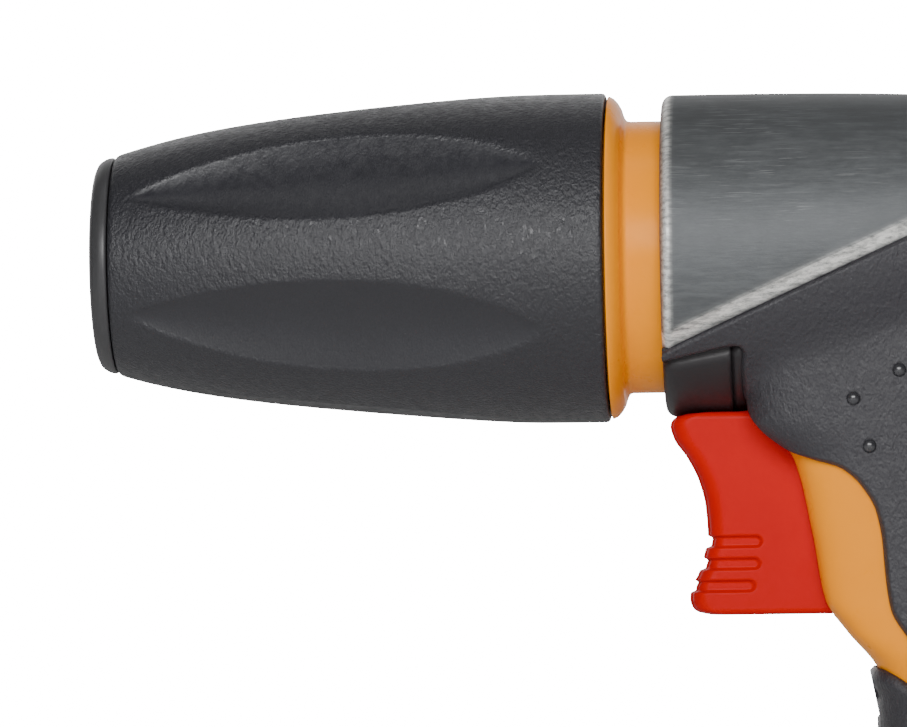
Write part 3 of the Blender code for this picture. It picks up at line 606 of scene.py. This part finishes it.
def scallop_depth(x, angle):
    """Depth of the finger hollows: a lens shape that is deepest in its middle, repeated round the grip.
    With u along and v across it, the depth is (1 - u^2) - v^2 / (1 - u^2)^(1/2) where positive, its edge
    rounded over a tenth of a millimetre."""
    pitch = math.tau / SCALLOP_COUNT
    across = ((angle - SCALLOP_TURN + pitch / 2) % pitch - pitch / 2) / SCALLOP_HALF_ANGLE
    room = np.maximum(1 - ((x - SCALLOP_X) / SCALLOP_HALF_LENGTH) ** 2, 1e-3)
    depth = SCALLOP_DEPTH * (room - across**2 / np.sqrt(room))
    return np.where(room <= 1e-3, 0, (depth + np.sqrt(depth**2 + 0.1**2)) / 2 - 0.01)


def make_grip():
    """The rubber grip: a swelling tube, its wall closed at both ends by rounded rims."""
    middle = np.linspace(-72.9, -0.7, 172)
    x_out = np.concatenate([[-73.95, -73.9, -73.7, -73.35], middle, [-0.35, -0.12, -0.02]])
    rim = np.concatenate([[0.75, 0.4, 0.14, 0.03], np.zeros(172), [0.05, 0.25, 0.55]])
    x_in = np.linspace(-0.05, -73.95, 24)
    angle = np.arange(400) * math.tau / 400
    r_out = grip_radius(x_out)[:, None] - rim[:, None] - np.maximum(scallop_depth(x_out[:, None], angle), 0)
    r_in = np.repeat(grip_radius(x_in)[:, None] - 3.2, len(angle), 1)
    x = np.concatenate([x_out, x_in])[:, None] + 0 * angle
    r = np.concatenate([r_out, r_in])
    points = np.stack([x, -r * np.cos(angle), r * np.sin(angle)], -1)
    hollow = np.clip(scallop_depth(x, angle) / 0.25, 0, 1)
    faces = grid_faces(*x.shape, True, True)
    return tidy(make_piece("grip_rubber", points.reshape(-1, 3), faces, {"hollow": hollow}))


join_frame(make_grip(), "nozzle", "soft_rubber", "nozzle_grip", material=RUBBER)

bezel = lathe(
    "front_bezel",
    [
        (-74.1, 9.7),
        (-76.0, 9.7),
        (-76.9, 10.8),
        (-76.9, 12.6),
        (-76.6, 12.8),
        (-76.6, 13.1),
        (-76.9, 13.3),
        (-76.85, 14.4),
        (-76.35, 15.5),
        (-75.3, 16.15),
        (-74.5, 16.3),
        (-74.1, 16.1),
    ],
    0.4,
    180,
)
join_frame(bezel, "nozzle", "bezel_plastic", "nozzle_bezel")

sleeve = lathe(
    "nozzle_sleeve_skin",
    [
        (-73.5, 12.9),
        (-62.0, 16.0),
        (-50.0, 18.3),
        (-26.0, 20.7),
        (0.3, 21.1),
        (0.3, 24.3),
        (1.1, 23.95),
        (1.8, 23.2),
        (2.35, 22.2),
        (2.5, 21.6),
        (3.0, 20.4),
        (13.4, 20.4),
        (13.4, 18.8),
        (0.0, 18.0),
        (-2.0, 16.2),
        (-29.0, 16.2),
        (-33.5, 12.6),
        (-43.6, 12.6),
        (-43.6, 14.4),
        (-46.4, 14.4),
        (-46.4, 12.6),
        (-62.0, 12.6),
        (-67.5, 9.5),
        (-73.5, 9.5),
    ],
    0.6,
    180,
)
join_frame(sleeve, "nozzle", "orange_plastic", "nozzle_sleeve")

tip = lathe(
    "spray_tip_turned",
    [(-75.4, 9.0), (-75.4, 8.0), (-74.6, 6.8), (-72.4, 3.3), (-69.5, 3.3), (-68.0, 5.2), (-68.0, 9.0)],
    0.25,
    96,
)
join_frame(tip, "nozzle", "brass", "spray_tip")


# Casing --------------------------------------------------------------------------------------

COVER_LINE = rounded_line(COVER_EDGE, 8)
LOWER_LINE = rounded_line(LOWER_GRIP_EDGE, 8)[::-1]
LEAF_LINE = np.concatenate([COVER_LINE, LOWER_LINE[::-1]])
LEAF_TIP = LOWER_GRIP_EDGE[0]


def shroud_edge(x):
    """Height of the shroud's lower edge at x, a smooth curve through its knots."""
    knots = np.array(SHROUD_EDGE)
    return flow(knots[:, 0], knots[:, 1], x)


def shroud_gap(x, z):
    """Distance below the shroud's lower edge, positive below it."""
    slope = shroud_edge(x + 0.5) - shroud_edge(x - 0.5)
    return (shroud_edge(x) - z) / np.sqrt(1 + slope**2)


def cover_swell(flat):
    """How far the cover stands off the casing: a full round lip with a small bead round the leaf, and a
    smaller lip at the shroud."""
    x, z = flat[..., 0], flat[..., 1]
    from_leaf = distance_to(LEAF_LINE, x, z)
    leaf = np.clip(from_leaf / LIP, 0, 1)
    top = np.clip((shroud_gap(x, z) - 0.1) / 0.5, 0, 1)
    bead = 0.25 * np.exp(-(((from_leaf - 1.15) / 0.6) ** 2))
    swell = -1.05 + 1.45 * np.sqrt(1 - (1 - leaf) ** 2) + bead
    return np.minimum(swell, -0.5 + 0.85 * np.sqrt(1 - (1 - top) ** 2))


def slot_wall(points, side):
    """Keeps a surface from reaching over the trigger's slot: there it follows the slot's side wall."""
    x, y, z = np.moveaxis(points, -1, 0)
    over = (z > SLOT_END) & (z < -9.0) & (x < 40.0) & (y * side < SLOT_HALF)
    return np.stack([x, np.where(over, SLOT_HALF * side, y), z], -1)


def make_cover(name, side):
    """One half of the rubber cover, in three patches: the flap and the back of the handle from the leaf's
    edge to the shroud, the tail and the back; the horn between the leaf's lower edge and the level of its
    tip; and the lower grip below that, whose columns carry on from those of the other two."""
    tip_z = LEAF_TIP[1]
    x_high = np.linspace(BODY_FRONT, 80.6, 150)
    high = np.stack([x_high, shroud_edge(x_high) + 0.08], -1)
    over = outline_over(80.7)
    back = outline_back(np.linspace(CORNER[1], tip_z, 120)[1:])
    line = np.concatenate([high, over, back])
    stations = np.linspace(0, 1, 300)
    knots_in = [(0, COVER_LINE[0]), (0.13, (19.6, -14.35)), (0.3, (20.2, -22.0)), (0.36, (21.6, -25.6))]
    knots_in += [(0.46, (24.0, -28.0)), (0.5, (25.6, -29.1)), (1, COVER_LINE[-1])]
    knots_out = [(0, line[0]), (0.13, (20.5, -9.7)), (0.3, (70.0, 12.4)), (0.36, (86.0, 13.5))]
    knots_out += [(0.46, (80.0, -11.1)), (0.5, CORNER), (1, line[-1])]
    inner, outer = rail(COVER_LINE, knots_in, stations), rail(line, knots_out, stations)
    outer[-1] = line[-1]
    inner[-1] = LEAF_TIP
    flap = ruled(inner, outer, lip_share(inner, outer, 62))
    shut = (shroud_gap(outer[:, 0], outer[:, 1]) > 0.3) | (outer[:, 0] > 81.0)

    edge = np.concatenate([[outline_front(np.array(-62.15))], LOWER_LINE[LOWER_LINE[:, 0] > 38.9]])
    s = np.linspace(0, 1, 26)
    along = np.concatenate([[0], np.cumsum(np.hypot(*np.diff(edge, axis=0).T))])
    at = np.interp(s, [0, 1], [0, along[-1]])
    upper = np.stack([np.interp(at, along, edge[:, 0]), np.interp(at, along, edge[:, 1])], -1)
    start = outline_front(np.array(tip_z))[0]
    lower = np.stack([start + (LEAF_TIP[0] - start) * s, np.full(26, tip_z)], -1)
    down = np.concatenate([[0, 0.02, 0.05, 0.09, 0.14, 0.2, 0.27], np.linspace(0.35, 1, 16)])
    horn = np.swapaxes(ruled(upper, lower, down), 0, 1)

    t = np.linspace(0, 1, 100)
    left = outline_front(tip_z + (-108.4 - tip_z) * t)
    right = outline_back(tip_z + (-103.0 - tip_z) * t)
    split = left + (right - left) * ((LEAF_TIP[0] - left[0, 0]) / (right[0, 0] - left[0, 0]))
    shares = (flap[-1, :, 0] - LEAF_TIP[0]) / (right[0, 0] - LEAF_TIP[0])
    grip = np.concatenate([ruled(left, split, s)[:, :-1], ruled(split, right, shares)], 1)
    patches = [
        slot_wall(lift(flap, side, cover_swell(flap), False, shut), side),
        lift(horn, side, cover_swell(horn), True, False),
        lift(grip, side, cover_swell(grip), True, True),
    ]
    return with_wall(join_patches(name, patches), 0.5)


def slot_front(z):
    """Where the handle's side comes out from behind the slot's wall, at height z."""
    front, back, half, square = handle_section(z)
    u = np.maximum(1 - ((SLOT_HALF + 1.15) / half) ** square, 0) ** (1 / square)
    return np.stack([(front + back) / 2 - (back - front) / 2 * u, z], -1)


def make_shell(name, side):
    """One half of the hard shell, which shows in the leaf and at the handle's foot. Its upper patch runs
    from the collar and the trigger's slot, the lower one from the handle's front, and both to the outline
    over the top and down the back. Its last rows draw in towards the riser to close the foot."""
    over = outline_over(20.9)
    back = outline_back(np.linspace(CORNER[1], SLOT_END, 80)[1:])
    line = np.concatenate([over, back])
    face = np.stack([np.full(60, 20.9), np.linspace(22.5, -19.0, 60)], -1)
    cheek = slot_front(np.linspace(-25.0, SLOT_END, 100))
    first = np.concatenate([face, cheek])
    stations = np.linspace(0, 1, 200)
    inner = rail(first, [(0, first[0]), (0.5, face[-1]), (0.56, cheek[0]), (1, first[-1])], stations)
    outer = rail(line, [(0, line[0]), (0.5, CORNER), (0.56, (70.6, -25.0)), (1, line[-1])], stations)
    upper = ruled(inner, outer, even_share(70))
    t = np.linspace(0, 1, 120)
    left = outline_front(SLOT_END + (-108.4 - SLOT_END) * t)
    right = outline_back(SLOT_END + (-103.0 - SLOT_END) * t)
    split = left + (right - left) * ((cheek[-1, 0] - left[0, 0]) / (right[0, 0] - left[0, 0]))
    before, after = ruled(left, split, even_share(24)), ruled(split, right, even_share(70))
    lower = np.concatenate([before[:, :-1], after], 1)
    top = slot_wall(lift(upper, side, np.full(upper.shape[:2], -1.2), False, True), side)
    wall = top[:, :1] + np.array([2.5, 0, 0])
    wall[:, :, 1] = np.where(wall[:, :, 2] < -20, SLOT_HALF * side, wall[:, :, 1] * 0.8)
    low = lift(lower, side, np.full(lower.shape[:2], -1.2), True, True)
    axis = lay_on_pipe(np.array([[HANDLE_FOOT, 0.0, 0.0]]))[0]
    ring = low[-1] - axis
    size = np.linalg.norm(ring, axis=1, keepdims=True)
    foot = [axis + ring * (1 + (9.6 / size - 1) * share) for share in (0.08, 0.35, 0.7, 1.0)]
    low = np.concatenate([low, foot])
    low[:, [0, -1], 1] = np.where(np.arange(len(low)) < 120, 0.12 * side, low[:, 0, 1])[:, None]
    return with_wall(join_patches(name, [np.concatenate([wall, top], 1), low]), 1.4)


for word, side in (("left", -1), ("right", 1)):
    cover = make_cover(f"rubber_cover_{word}", side)
    join_frame(cover, "body", "soft_rubber", f"grip_cover_{word}", material=COVER_RUBBER)
    shell = make_shell(f"hard_shell_{word}", side)
    join_frame(shell, "body", "orange_plastic", f"shell_{word}")


# Height above the shroud's lower edge, and how far its skin stands off the casing there
BEVEL_SECTION = ([0, 0.12, 0.3, 2.4, 2.6, 9], [-0.75, -0.38, -0.28, 0.56, 0.6, 0.6])
CROWN_DROP = 0.45


def make_shroud():
    """The metal shroud: at each x an arc of the body's ellipse from one lower edge over the top to the
    other, with a flat bevel along both edges and a small round at the front."""
    t = np.linspace(0, 1, 170)
    bend = np.linspace(0, math.pi / 2, 9)[:-1]
    x = np.concatenate([BODY_FRONT + 1.6 * (1 - np.cos(bend)), 10.0 + 71.6 * t])
    corner = np.concatenate([1.6 * (1 - np.sin(bend)), 0 * t])
    centre, high, wide = body_section(x)
    low = shroud_edge(x)
    bevel = np.array([0.0, 0.12, 0.3, 0.8, 1.4, 1.95, 2.25, 2.4, 2.5, 2.6, 2.75, 3.0])
    sunk = np.interp(bevel, *BEVEL_SECTION)
    rows = [np.arcsin(np.clip((low + b - centre) / (high + o), -1, 1)) for b, o in zip(bevel, sunk)]
    last = rows[-1]
    rows += [last + (math.pi / 2 - last) * s for s in np.linspace(0, 1, 70)[1:]]
    turn = np.stack(rows, 1)
    rise = np.concatenate([bevel, np.full(69, 9.0)])
    worn_edge = np.exp(-(((rise - 2.5) / 0.35) ** 2)) * 0.25
    out = np.interp(rise, *BEVEL_SECTION)[None, :] - corner[:, None]
    upward = (turn - last[:, None]) / np.maximum(math.pi / 2 - last[:, None], 0.01)
    out = out - CROWN_DROP * np.clip(upward, 0, 1)
    side_y = (wide[:, None] + out) * np.cos(turn)
    z = centre[:, None] + (high[:, None] + out) * np.sin(turn)
    xs = np.repeat(x[:, None], turn.shape[1], 1)
    left = np.stack([xs, -side_y, z], -1)
    right = np.stack([xs, side_y, z], -1)[:, ::-1][:, 1:]
    points = np.concatenate([left, right], 1)
    band = np.clip(1 - np.abs(rise - 1.35) / 1.15, 0, 1) ** 0.35 + worn_edge
    front = np.exp(-(((x - BODY_FRONT - 0.9) / 0.55) ** 2)) * 0.9
    worn = np.maximum(np.clip(band, 0, 1)[None, :], front[:, None] + 0 * band)
    worn = np.concatenate([worn, worn[:, ::-1][:, 1:]], 1)
    obj = make_piece("shroud_skin", points.reshape(-1, 3), grid_faces(*points.shape[:2]), {"worn": worn})
    return with_wall(tidy(obj, True), 1.1)


join_frame(make_shroud(), "body", "cast_metal", "top_shroud")


def make_chin():
    """The front collar: full round below the cover's strip, and drawn in above it, under the shroud."""
    x_front = [0.35, 0.05, 0.0, 0.0, 0.12, 0.5, 1.0, 1.6]
    r_front = [20.9, 21.0, 21.2, 22.5, 23.1, 23.6, 23.9, 24.05]
    x_band = [2.2, 4.0, 6.0, 8.0, 9.6, 10.0, 10.2, 10.2]
    r_band = [24.1, 24.1, 24.1, 24.1, 24.1, 24.0, 23.7, 22.9]
    x_shelf = [18.62, 18.95, 19.0, 20.35, 20.4, 20.9, 20.9, 18.6]
    r_shelf = [23.4, 23.4, 23.6, 23.5, 23.4, 23.4, 21.6, 20.9]
    x = np.concatenate([BODY_FRONT + np.array(x_front + x_band), x_shelf])
    r = np.array(r_front + r_band + r_shelf)
    edge = np.interp(x, *np.array(STRIP_EDGE).T)
    start = np.arcsin(edge / 24.1)
    low = start[:, None] - (math.pi + 2 * start[:, None]) * np.linspace(0, 1, 90)
    high = start[:, None] + (math.pi - 2 * start[:, None]) * np.linspace(0, 1, 90)[::-1]
    turn = np.concatenate([low, high], 1)
    tuck = np.concatenate([[1.25, 0.5, 0.15], np.zeros(84), [0.15, 0.5, 1.25], np.full(90, 1.25)])
    radius = np.maximum(r[:, None] - tuck, 20.9)
    points = np.stack([np.repeat(x[:, None], 180, 1), -radius * np.cos(turn), radius * np.sin(turn)], -1)
    return tidy(make_piece("chin_collar", points.reshape(-1, 3), grid_faces(len(x), 180, True, True)))


join_frame(make_chin(), "body", "dark_plastic", "front_collar")


def dome_places():
    """Rows of domes on the flap, on a slanting lattice, kept away from the cover's edges."""
    i, j = np.meshgrid(np.arange(0, 6), np.arange(0, 2))
    x = 36.5 + 6.8 * i + 2.25 * j
    z = -21.9 + 4.1 * i - 7.05 * j
    flat = np.stack([x, z], -1)
    edge_x = np.interp(-z, -COVER_LINE[:, 1], COVER_LINE[:, 0])
    good = (distance_to(LEAF_LINE, x, z) > 2.6) & (x > edge_x) & (shroud_gap(x, z) > 3.2)
    good &= (half_width(x, z) > 14.0) & (z > -58) & (x > 30) & (x < handle_section(z)[1] - 9)
    return flat[good]


def make_domes(name, side):
    """Small raised domes: half a flattened ball on the cover at each place, all alike, with a floor. Row by
    row a dome's points are (R sin t cos a, R sin t sin a) out from its middle and H cos t high."""
    places = dome_places()
    ring = np.linspace(0, 1, 7)
    angle = np.arange(16) * math.tau / 16
    rho = np.append(1.05 * np.sin(ring * math.pi / 2), 0)[:, None]
    tall = np.append(0.95 * np.cos(ring * math.pi / 2), 0)[:, None] - 0.15
    x = places[:, 0, None, None] + rho * np.cos(angle)
    z = places[:, 1, None, None] + rho * np.sin(angle)
    points = np.stack([x, (half_width(x, z) + 0.45 + tall) * side, z], -1)
    one = grid_faces(8, 16, False, True)
    faces = one[None] + (np.arange(len(places)) * 8 * 16)[:, None, None]
    return tidy(make_piece(name, points.reshape(-1, 3), faces.reshape(-1, 4)))


DOME_COLOUR, DOME_DEEP = (0.024, 0.024, 0.028), (0.03, 0.03, 0.034)
DOME_RUBBER = moulded_plastic("smooth dome rubber", DOME_COLOUR, 0.26, DOME_DEEP, 0.01, 0.0, 0.9)
for word, side in (("left", -1), ("right", 1)):
    join_frame(make_domes(f"cover_domes_{word}", side), "body", "soft_rubber", material=DOME_RUBBER)


# Trigger -------------------------------------------------------------------------------------


def make_trigger():
    """The finger lever: at each height a section with round front corners, its front following the finger's
    curve. Three grooves run round it, each sunk where a pill shape in side view covers it."""
    middle = np.linspace(24.4, 52.9, 190)
    depth = np.concatenate([[23.3, 23.32, 23.42, 23.65, 24.0], middle, [53.25, 53.5, 53.65, 53.7, 53.7]])
    round_off = np.concatenate([[3.0, 1.4, 0.75, 0.35, 0.1], np.zeros(190), [0.1, 0.35, 0.8, 1.4, 3.0]])
    front = flow(TRIGGER_Z, TRIGGER_FRONT, depth)
    rear = np.interp(depth, [23.3, 33.0, 53.7], [31.0, 31.3, 34.8])
    corner = 2.6
    bend = np.linspace(0, math.pi / 2, 14)
    side_run = np.linspace(1, 0, 70)[:-1]
    cx = np.concatenate([corner + 0 * side_run, corner * (1 - np.sin(bend)), np.zeros(24)])
    flat = 1 - corner / TRIGGER_HALF
    turned_in = 1 - corner / TRIGGER_HALF * (1 - np.cos(bend))
    cy = np.concatenate([1 + 0 * side_run, turned_in, np.linspace(flat, 0, 25)[1:]])
    x = front[:, None] + cx
    x[:, :69] = (front + corner)[:, None] + (rear - front - corner)[:, None] * side_run
    crown = 0.5 * (1 - cy**2) * (np.arange(len(cx)) > 82)
    x = x - crown + round_off[:, None]
    x[:, :40] -= (round_off[:, None] * 2) * np.linspace(1, 0, 40)
    y = -TRIGGER_HALF * cy * np.ones_like(x) + round_off[:, None] * np.minimum(cy, 1)
    z = -depth[:, None] * np.ones_like(x)
    sunk = np.zeros_like(x)
    for middle, end in TRIGGER_SLOTS:
        away = np.hypot(np.maximum(x - (end - 0.95), 0), z - middle)
        sunk = np.maximum(sunk, 1 - smooth_step(0.55, 1.0, away))
    normal_x = np.concatenate([0 * side_run, np.sin(bend), np.ones(24)])
    normal_y = np.concatenate([1 + 0 * side_run, np.cos(bend), np.zeros(24)])
    x = x + sunk * normal_x * 0.75
    y = y + sunk * normal_y * 0.75
    saddle = -np.sqrt(24.7**2 - y**2)
    z = np.where(x < 20.4, np.minimum(z, saddle), z)
    left = np.stack([x, y, z], -1)
    right = np.stack([x, -y, z], -1)[:, ::-1][:, 1:]
    points = np.concatenate([left, right], 1)
    middle = points.mean(1, keepdims=True)
    points = np.concatenate([middle[:1] + 0 * points[:1], points, middle[-1:] + 0 * points[-1:]])
    faces = grid_faces(*points.shape[:2], False, True)
    return tidy(make_piece("trigger_lever", points.reshape(-1, 3), faces))


join_frame(make_trigger(), "trigger", "red_plastic", "trigger")


def plate(name, outline, low, high, hole=None):
    """A flat plate: an outline in side view carried across from y = low to y = high. Each face runs from
    the outline in to its middle, or to the rim of a hole given by its middle and radius."""
    outer = np.array(outline, float)
    inner = np.repeat(outer.mean(0, keepdims=True), len(outer), 0)
    if hole is not None:
        from_middle = outer - np.array(hole[0])
        reach = np.linalg.norm(from_middle, axis=1, keepdims=True)
        inner = np.array(hole[0]) + from_middle * hole[1] / reach
    rows = [(inner, low), (outer, low), (outer, high), (inner, high)]
    points = np.stack([np.stack([flat[:, 0], np.full(len(flat), y), flat[:, 1]], -1) for flat, y in rows])
    faces = grid_faces(4, len(outer), hole is not None, True)
    obj = tidy(make_piece(name, points.reshape(-1, 3), faces))
    edges = obj.modifiers.new("edges", "BEVEL")
    edges.width = 0.3 * MM
    edges.segments = 2
    edges.limit_method = "ANGLE"
    return obj


def disc_outline(x, z, radius, steps=48):
    """A circle of points round (x, z)."""
    angle = np.arange(steps) * math.tau / steps
    return np.stack([x + radius * np.cos(angle), z + radius * np.sin(angle)], -1)


PIN = (27.0, -18.5)
HUB_RADIUS, BORE_RADIUS, PEG_RADIUS = 3.6, 1.8, 1.6
FORK_ARM = [(24.9, -15.2), (29.1, -15.2), (32.1, 0.5), (30.7, 3.0), (27.5, 3.0), (26.1, 0.5)]
NECK = [(22.4, -21.4), (31.2, -21.4), (31.0, -25.5), (22.4, -25.5)]
for word, side in (("left", -1), ("right", 1)):
    arm = plate(f"fork_arm_{word}", FORK_ARM, *sorted((side * 9.7, side * 12.25)))
    peg = plate(f"fork_peg_{word}", disc_outline(29.1, 0.0, PEG_RADIUS), *sorted((side * 6.7, side * 11.9)))
    across = sorted((side * 1.0, side * 12.3))
    hub = plate(f"trigger_hub_{word}", disc_outline(*PIN, HUB_RADIUS), *across, hole=(PIN, BORE_RADIUS))
    for piece in (arm, peg, hub):
        join_frame(piece, "trigger", "red_plastic")
join_frame(plate("trigger_neck", NECK, -8.1, 8.1), "trigger", "red_plastic")


SPRING_FRONT, SPRING_REAR = 42.15, 54.35
SPRING_TURNS = 5
SPRING_RADIUS, WIRE_RADIUS = 7.0, 0.55


def make_spring():
    """The return spring: a circle of wire carried along a helix, (x, R cos t, R sin t) with x growing
    evenly with t, and drawn in to a point at either end."""
    t = np.linspace(0, math.tau * SPRING_TURNS, 48 * SPRING_TURNS + 1)
    t = np.concatenate([t[:1], t, t[-1:]])[:, None]
    wire = np.full(len(t), WIRE_RADIUS)
    wire[[0, -1]] = 0
    around = np.arange(12) * math.tau / 12
    share = t / (math.tau * SPRING_TURNS)
    middle = SPRING_FRONT + WIRE_RADIUS + (SPRING_REAR - SPRING_FRONT - 2 * WIRE_RADIUS) * share
    x = middle + wire[:, None] * np.cos(around)
    r = SPRING_RADIUS + wire[:, None] * np.sin(around)
    points = np.stack([x, r * np.cos(t), r * np.sin(t)], -1)
    return tidy(make_piece("return_coil", points.reshape(-1, 3), grid_faces(*x.shape, False, True)))


# It is shut between the chamber's wall, which stays, and the shuttle's head, which comes forward.
spring = join_frame(make_spring(), "shuttle", "steel", "return_spring")
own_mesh(spring)


# Inlet ---------------------------------------------------------------------------------------

spigot = lathe(
    "hose_spigot",
    [
        (92.5, 8.2),
        (100.0, 8.2),
        (100.0, 12.0),
        (103.0, 12.0),
        (103.0, 9.2),
        (113.2, 9.2),
        (113.2, 11.0),
        (116.2, 11.0),
        (116.2, 8.6),
        (120.8, 8.6),
        (121.6, 7.4),
        (125.2, 7.4),
        (126.0, 8.6),
        (130.4, 8.6),
        (132.2, 6.8),
        (133.4, 6.8),
        (133.4, 5.5),
        (136.0, 5.5),
        (136.0, 6.8),
        (138.2, 6.8),
        (139.0, 6.1),
        (139.0, 4.6),
        (99.0, 4.6),
        (99.0, 5.9),
        (92.5, 5.9),
    ],
    0.35,
    120,
    down_pipe=True,
)
join_frame(spigot, "body", "orange_plastic", "inlet_spigot")


def ribbed(x, angle, r):
    """Thirty-two soft ribs round the collar nut's outer band."""
    outer = smooth_step(14.2, 14.9, r)
    return r - outer * 0.45 * (0.5 + 0.5 * np.cos(32 * angle)) ** 2


collar_nut = lathe(
    "collar_nut",
    [(107.3, 9.6), (107.3, 14.2), (108.2, 14.9), (109.9, 14.9), (111.6, 14.9), (112.9, 13.4), (112.9, 9.6)],
    0.4,
    384,
    down_pipe=True,
    radius_of=ribbed,
)
join_frame(collar_nut, "body", "dark_plastic", "base_ring")

seal = [(134.7 + 0.95 * math.cos(a), 6.6 + 0.95 * math.sin(a)) for a in np.arange(14) * math.tau / 14]
join_frame(lathe("inlet_seal", seal, 0.05, 96, down_pipe=True), "body", "seal_rubber", "inlet_o_ring")


# CAD nodes that stay ------------------------------------------------------------------------

slots = {row["node"]: row["material_slot"] for row in frame["record"]["subparts"]}
for node_name, node in frame["nodes"].items():
    node.data.materials.clear()
    node.data.materials.append(BY_SLOT[slots[node_name]])


# Stage ---------------------------------------------------------------------------------------


def make_floor():
    """A flat pale square that the gun stands over."""
    bpy.ops.mesh.primitive_plane_add(size=3, location=(0, 0, -0.0823))
    floor = bpy.context.object
    floor.name = "floor"
    paint = bpy.data.materials.new("pale floor")
    paint.use_nodes = True
    paint.node_tree.nodes["Principled BSDF"].inputs["Base Color"].default_value = (0.9, 0.9, 0.9, 1)
    paint.node_tree.nodes["Principled BSDF"].inputs["Roughness"].default_value = 0.9
    floor.data.materials.append(paint)


def make_world(dim, bright, shown):
    """Pale surroundings: bright behind the gun, dim above, below and in front, so that rounded sides turn
    from a dark band to a light rim. The camera sees plain white."""
    world = bpy.data.worlds.new("studio")
    world.use_nodes = True
    nodes, links = world.node_tree.nodes, world.node_tree.links
    back = nodes["Background"]
    back.inputs["Color"].default_value = (1, 1, 1, 1)
    place_of = nodes.new("ShaderNodeTexCoord")
    parts = nodes.new("ShaderNodeSeparateXYZ")
    links.new(place_of.outputs["Generated"], parts.inputs[0])
    behind = nodes.new("ShaderNodeMapRange")
    behind.interpolation_type = "SMOOTHSTEP"
    for key, number in (("From Min", 0.5), ("From Max", 0.95), ("To Min", dim), ("To Max", bright)):
        behind.inputs[key].default_value = number
    links.new(parts.outputs["Y"], behind.inputs["Value"])
    path = nodes.new("ShaderNodeLightPath")
    level = nodes.new("ShaderNodeMapRange")
    level.inputs["To Max"].default_value = shown
    links.new(behind.outputs["Result"], level.inputs["To Min"])
    links.new(path.outputs["Is Camera Ray"], level.inputs["Value"])
    links.new(level.outputs["Result"], back.inputs["Strength"])
    bpy.context.scene.world = world


def make_light(name, gun_point, aim, width, height, watts):
    """A rectangular soft light at one point, facing another, both in gun millimetres."""
    data = bpy.data.lights.new(name, "AREA")
    data.shape = "RECTANGLE"
    data.size, data.size_y, data.energy = width, height, watts
    light = bpy.data.objects.new(name, data)
    light.location = Vector(place(gun_point))
    light.rotation_euler = (Vector(place(aim)) - light.location).to_track_quat("-Z", "Y").to_euler()
    bpy.context.scene.collection.objects.link(light)


def make_camera():
    """Long lens, nearly square on to the gun's left side, from a little to the rear and below."""
    data = bpy.data.cameras.new("camera")
    data.lens = 285.8
    data.sensor_width = 36.0
    camera = bpy.data.objects.new("camera", data)
    target = Vector(place((-23.55, 0.0, -15.5)))
    camera.location = Vector(place((43.0, -1080.0, -36.9)))
    forward = (target - camera.location).normalized()
    up = Vector((0.014, 0.0, 1.0))
    right = forward.cross(up).normalized()
    up = right.cross(forward)
    turn = Matrix((right, up, -forward)).transposed()
    camera.rotation_euler = turn.to_euler()
    bpy.context.scene.collection.objects.link(camera)
    bpy.context.scene.camera = camera


make_floor()
make_world(0.09, 1.7, 20.0)
make_light("key", (-40, -900, 290), (-10, 0, -10), 900 * MM, 340 * MM, 10.5)
make_light("top_strip", (0, -80, 620), (0, 0, 0), 700 * MM, 120 * MM, 0.5)
make_camera()
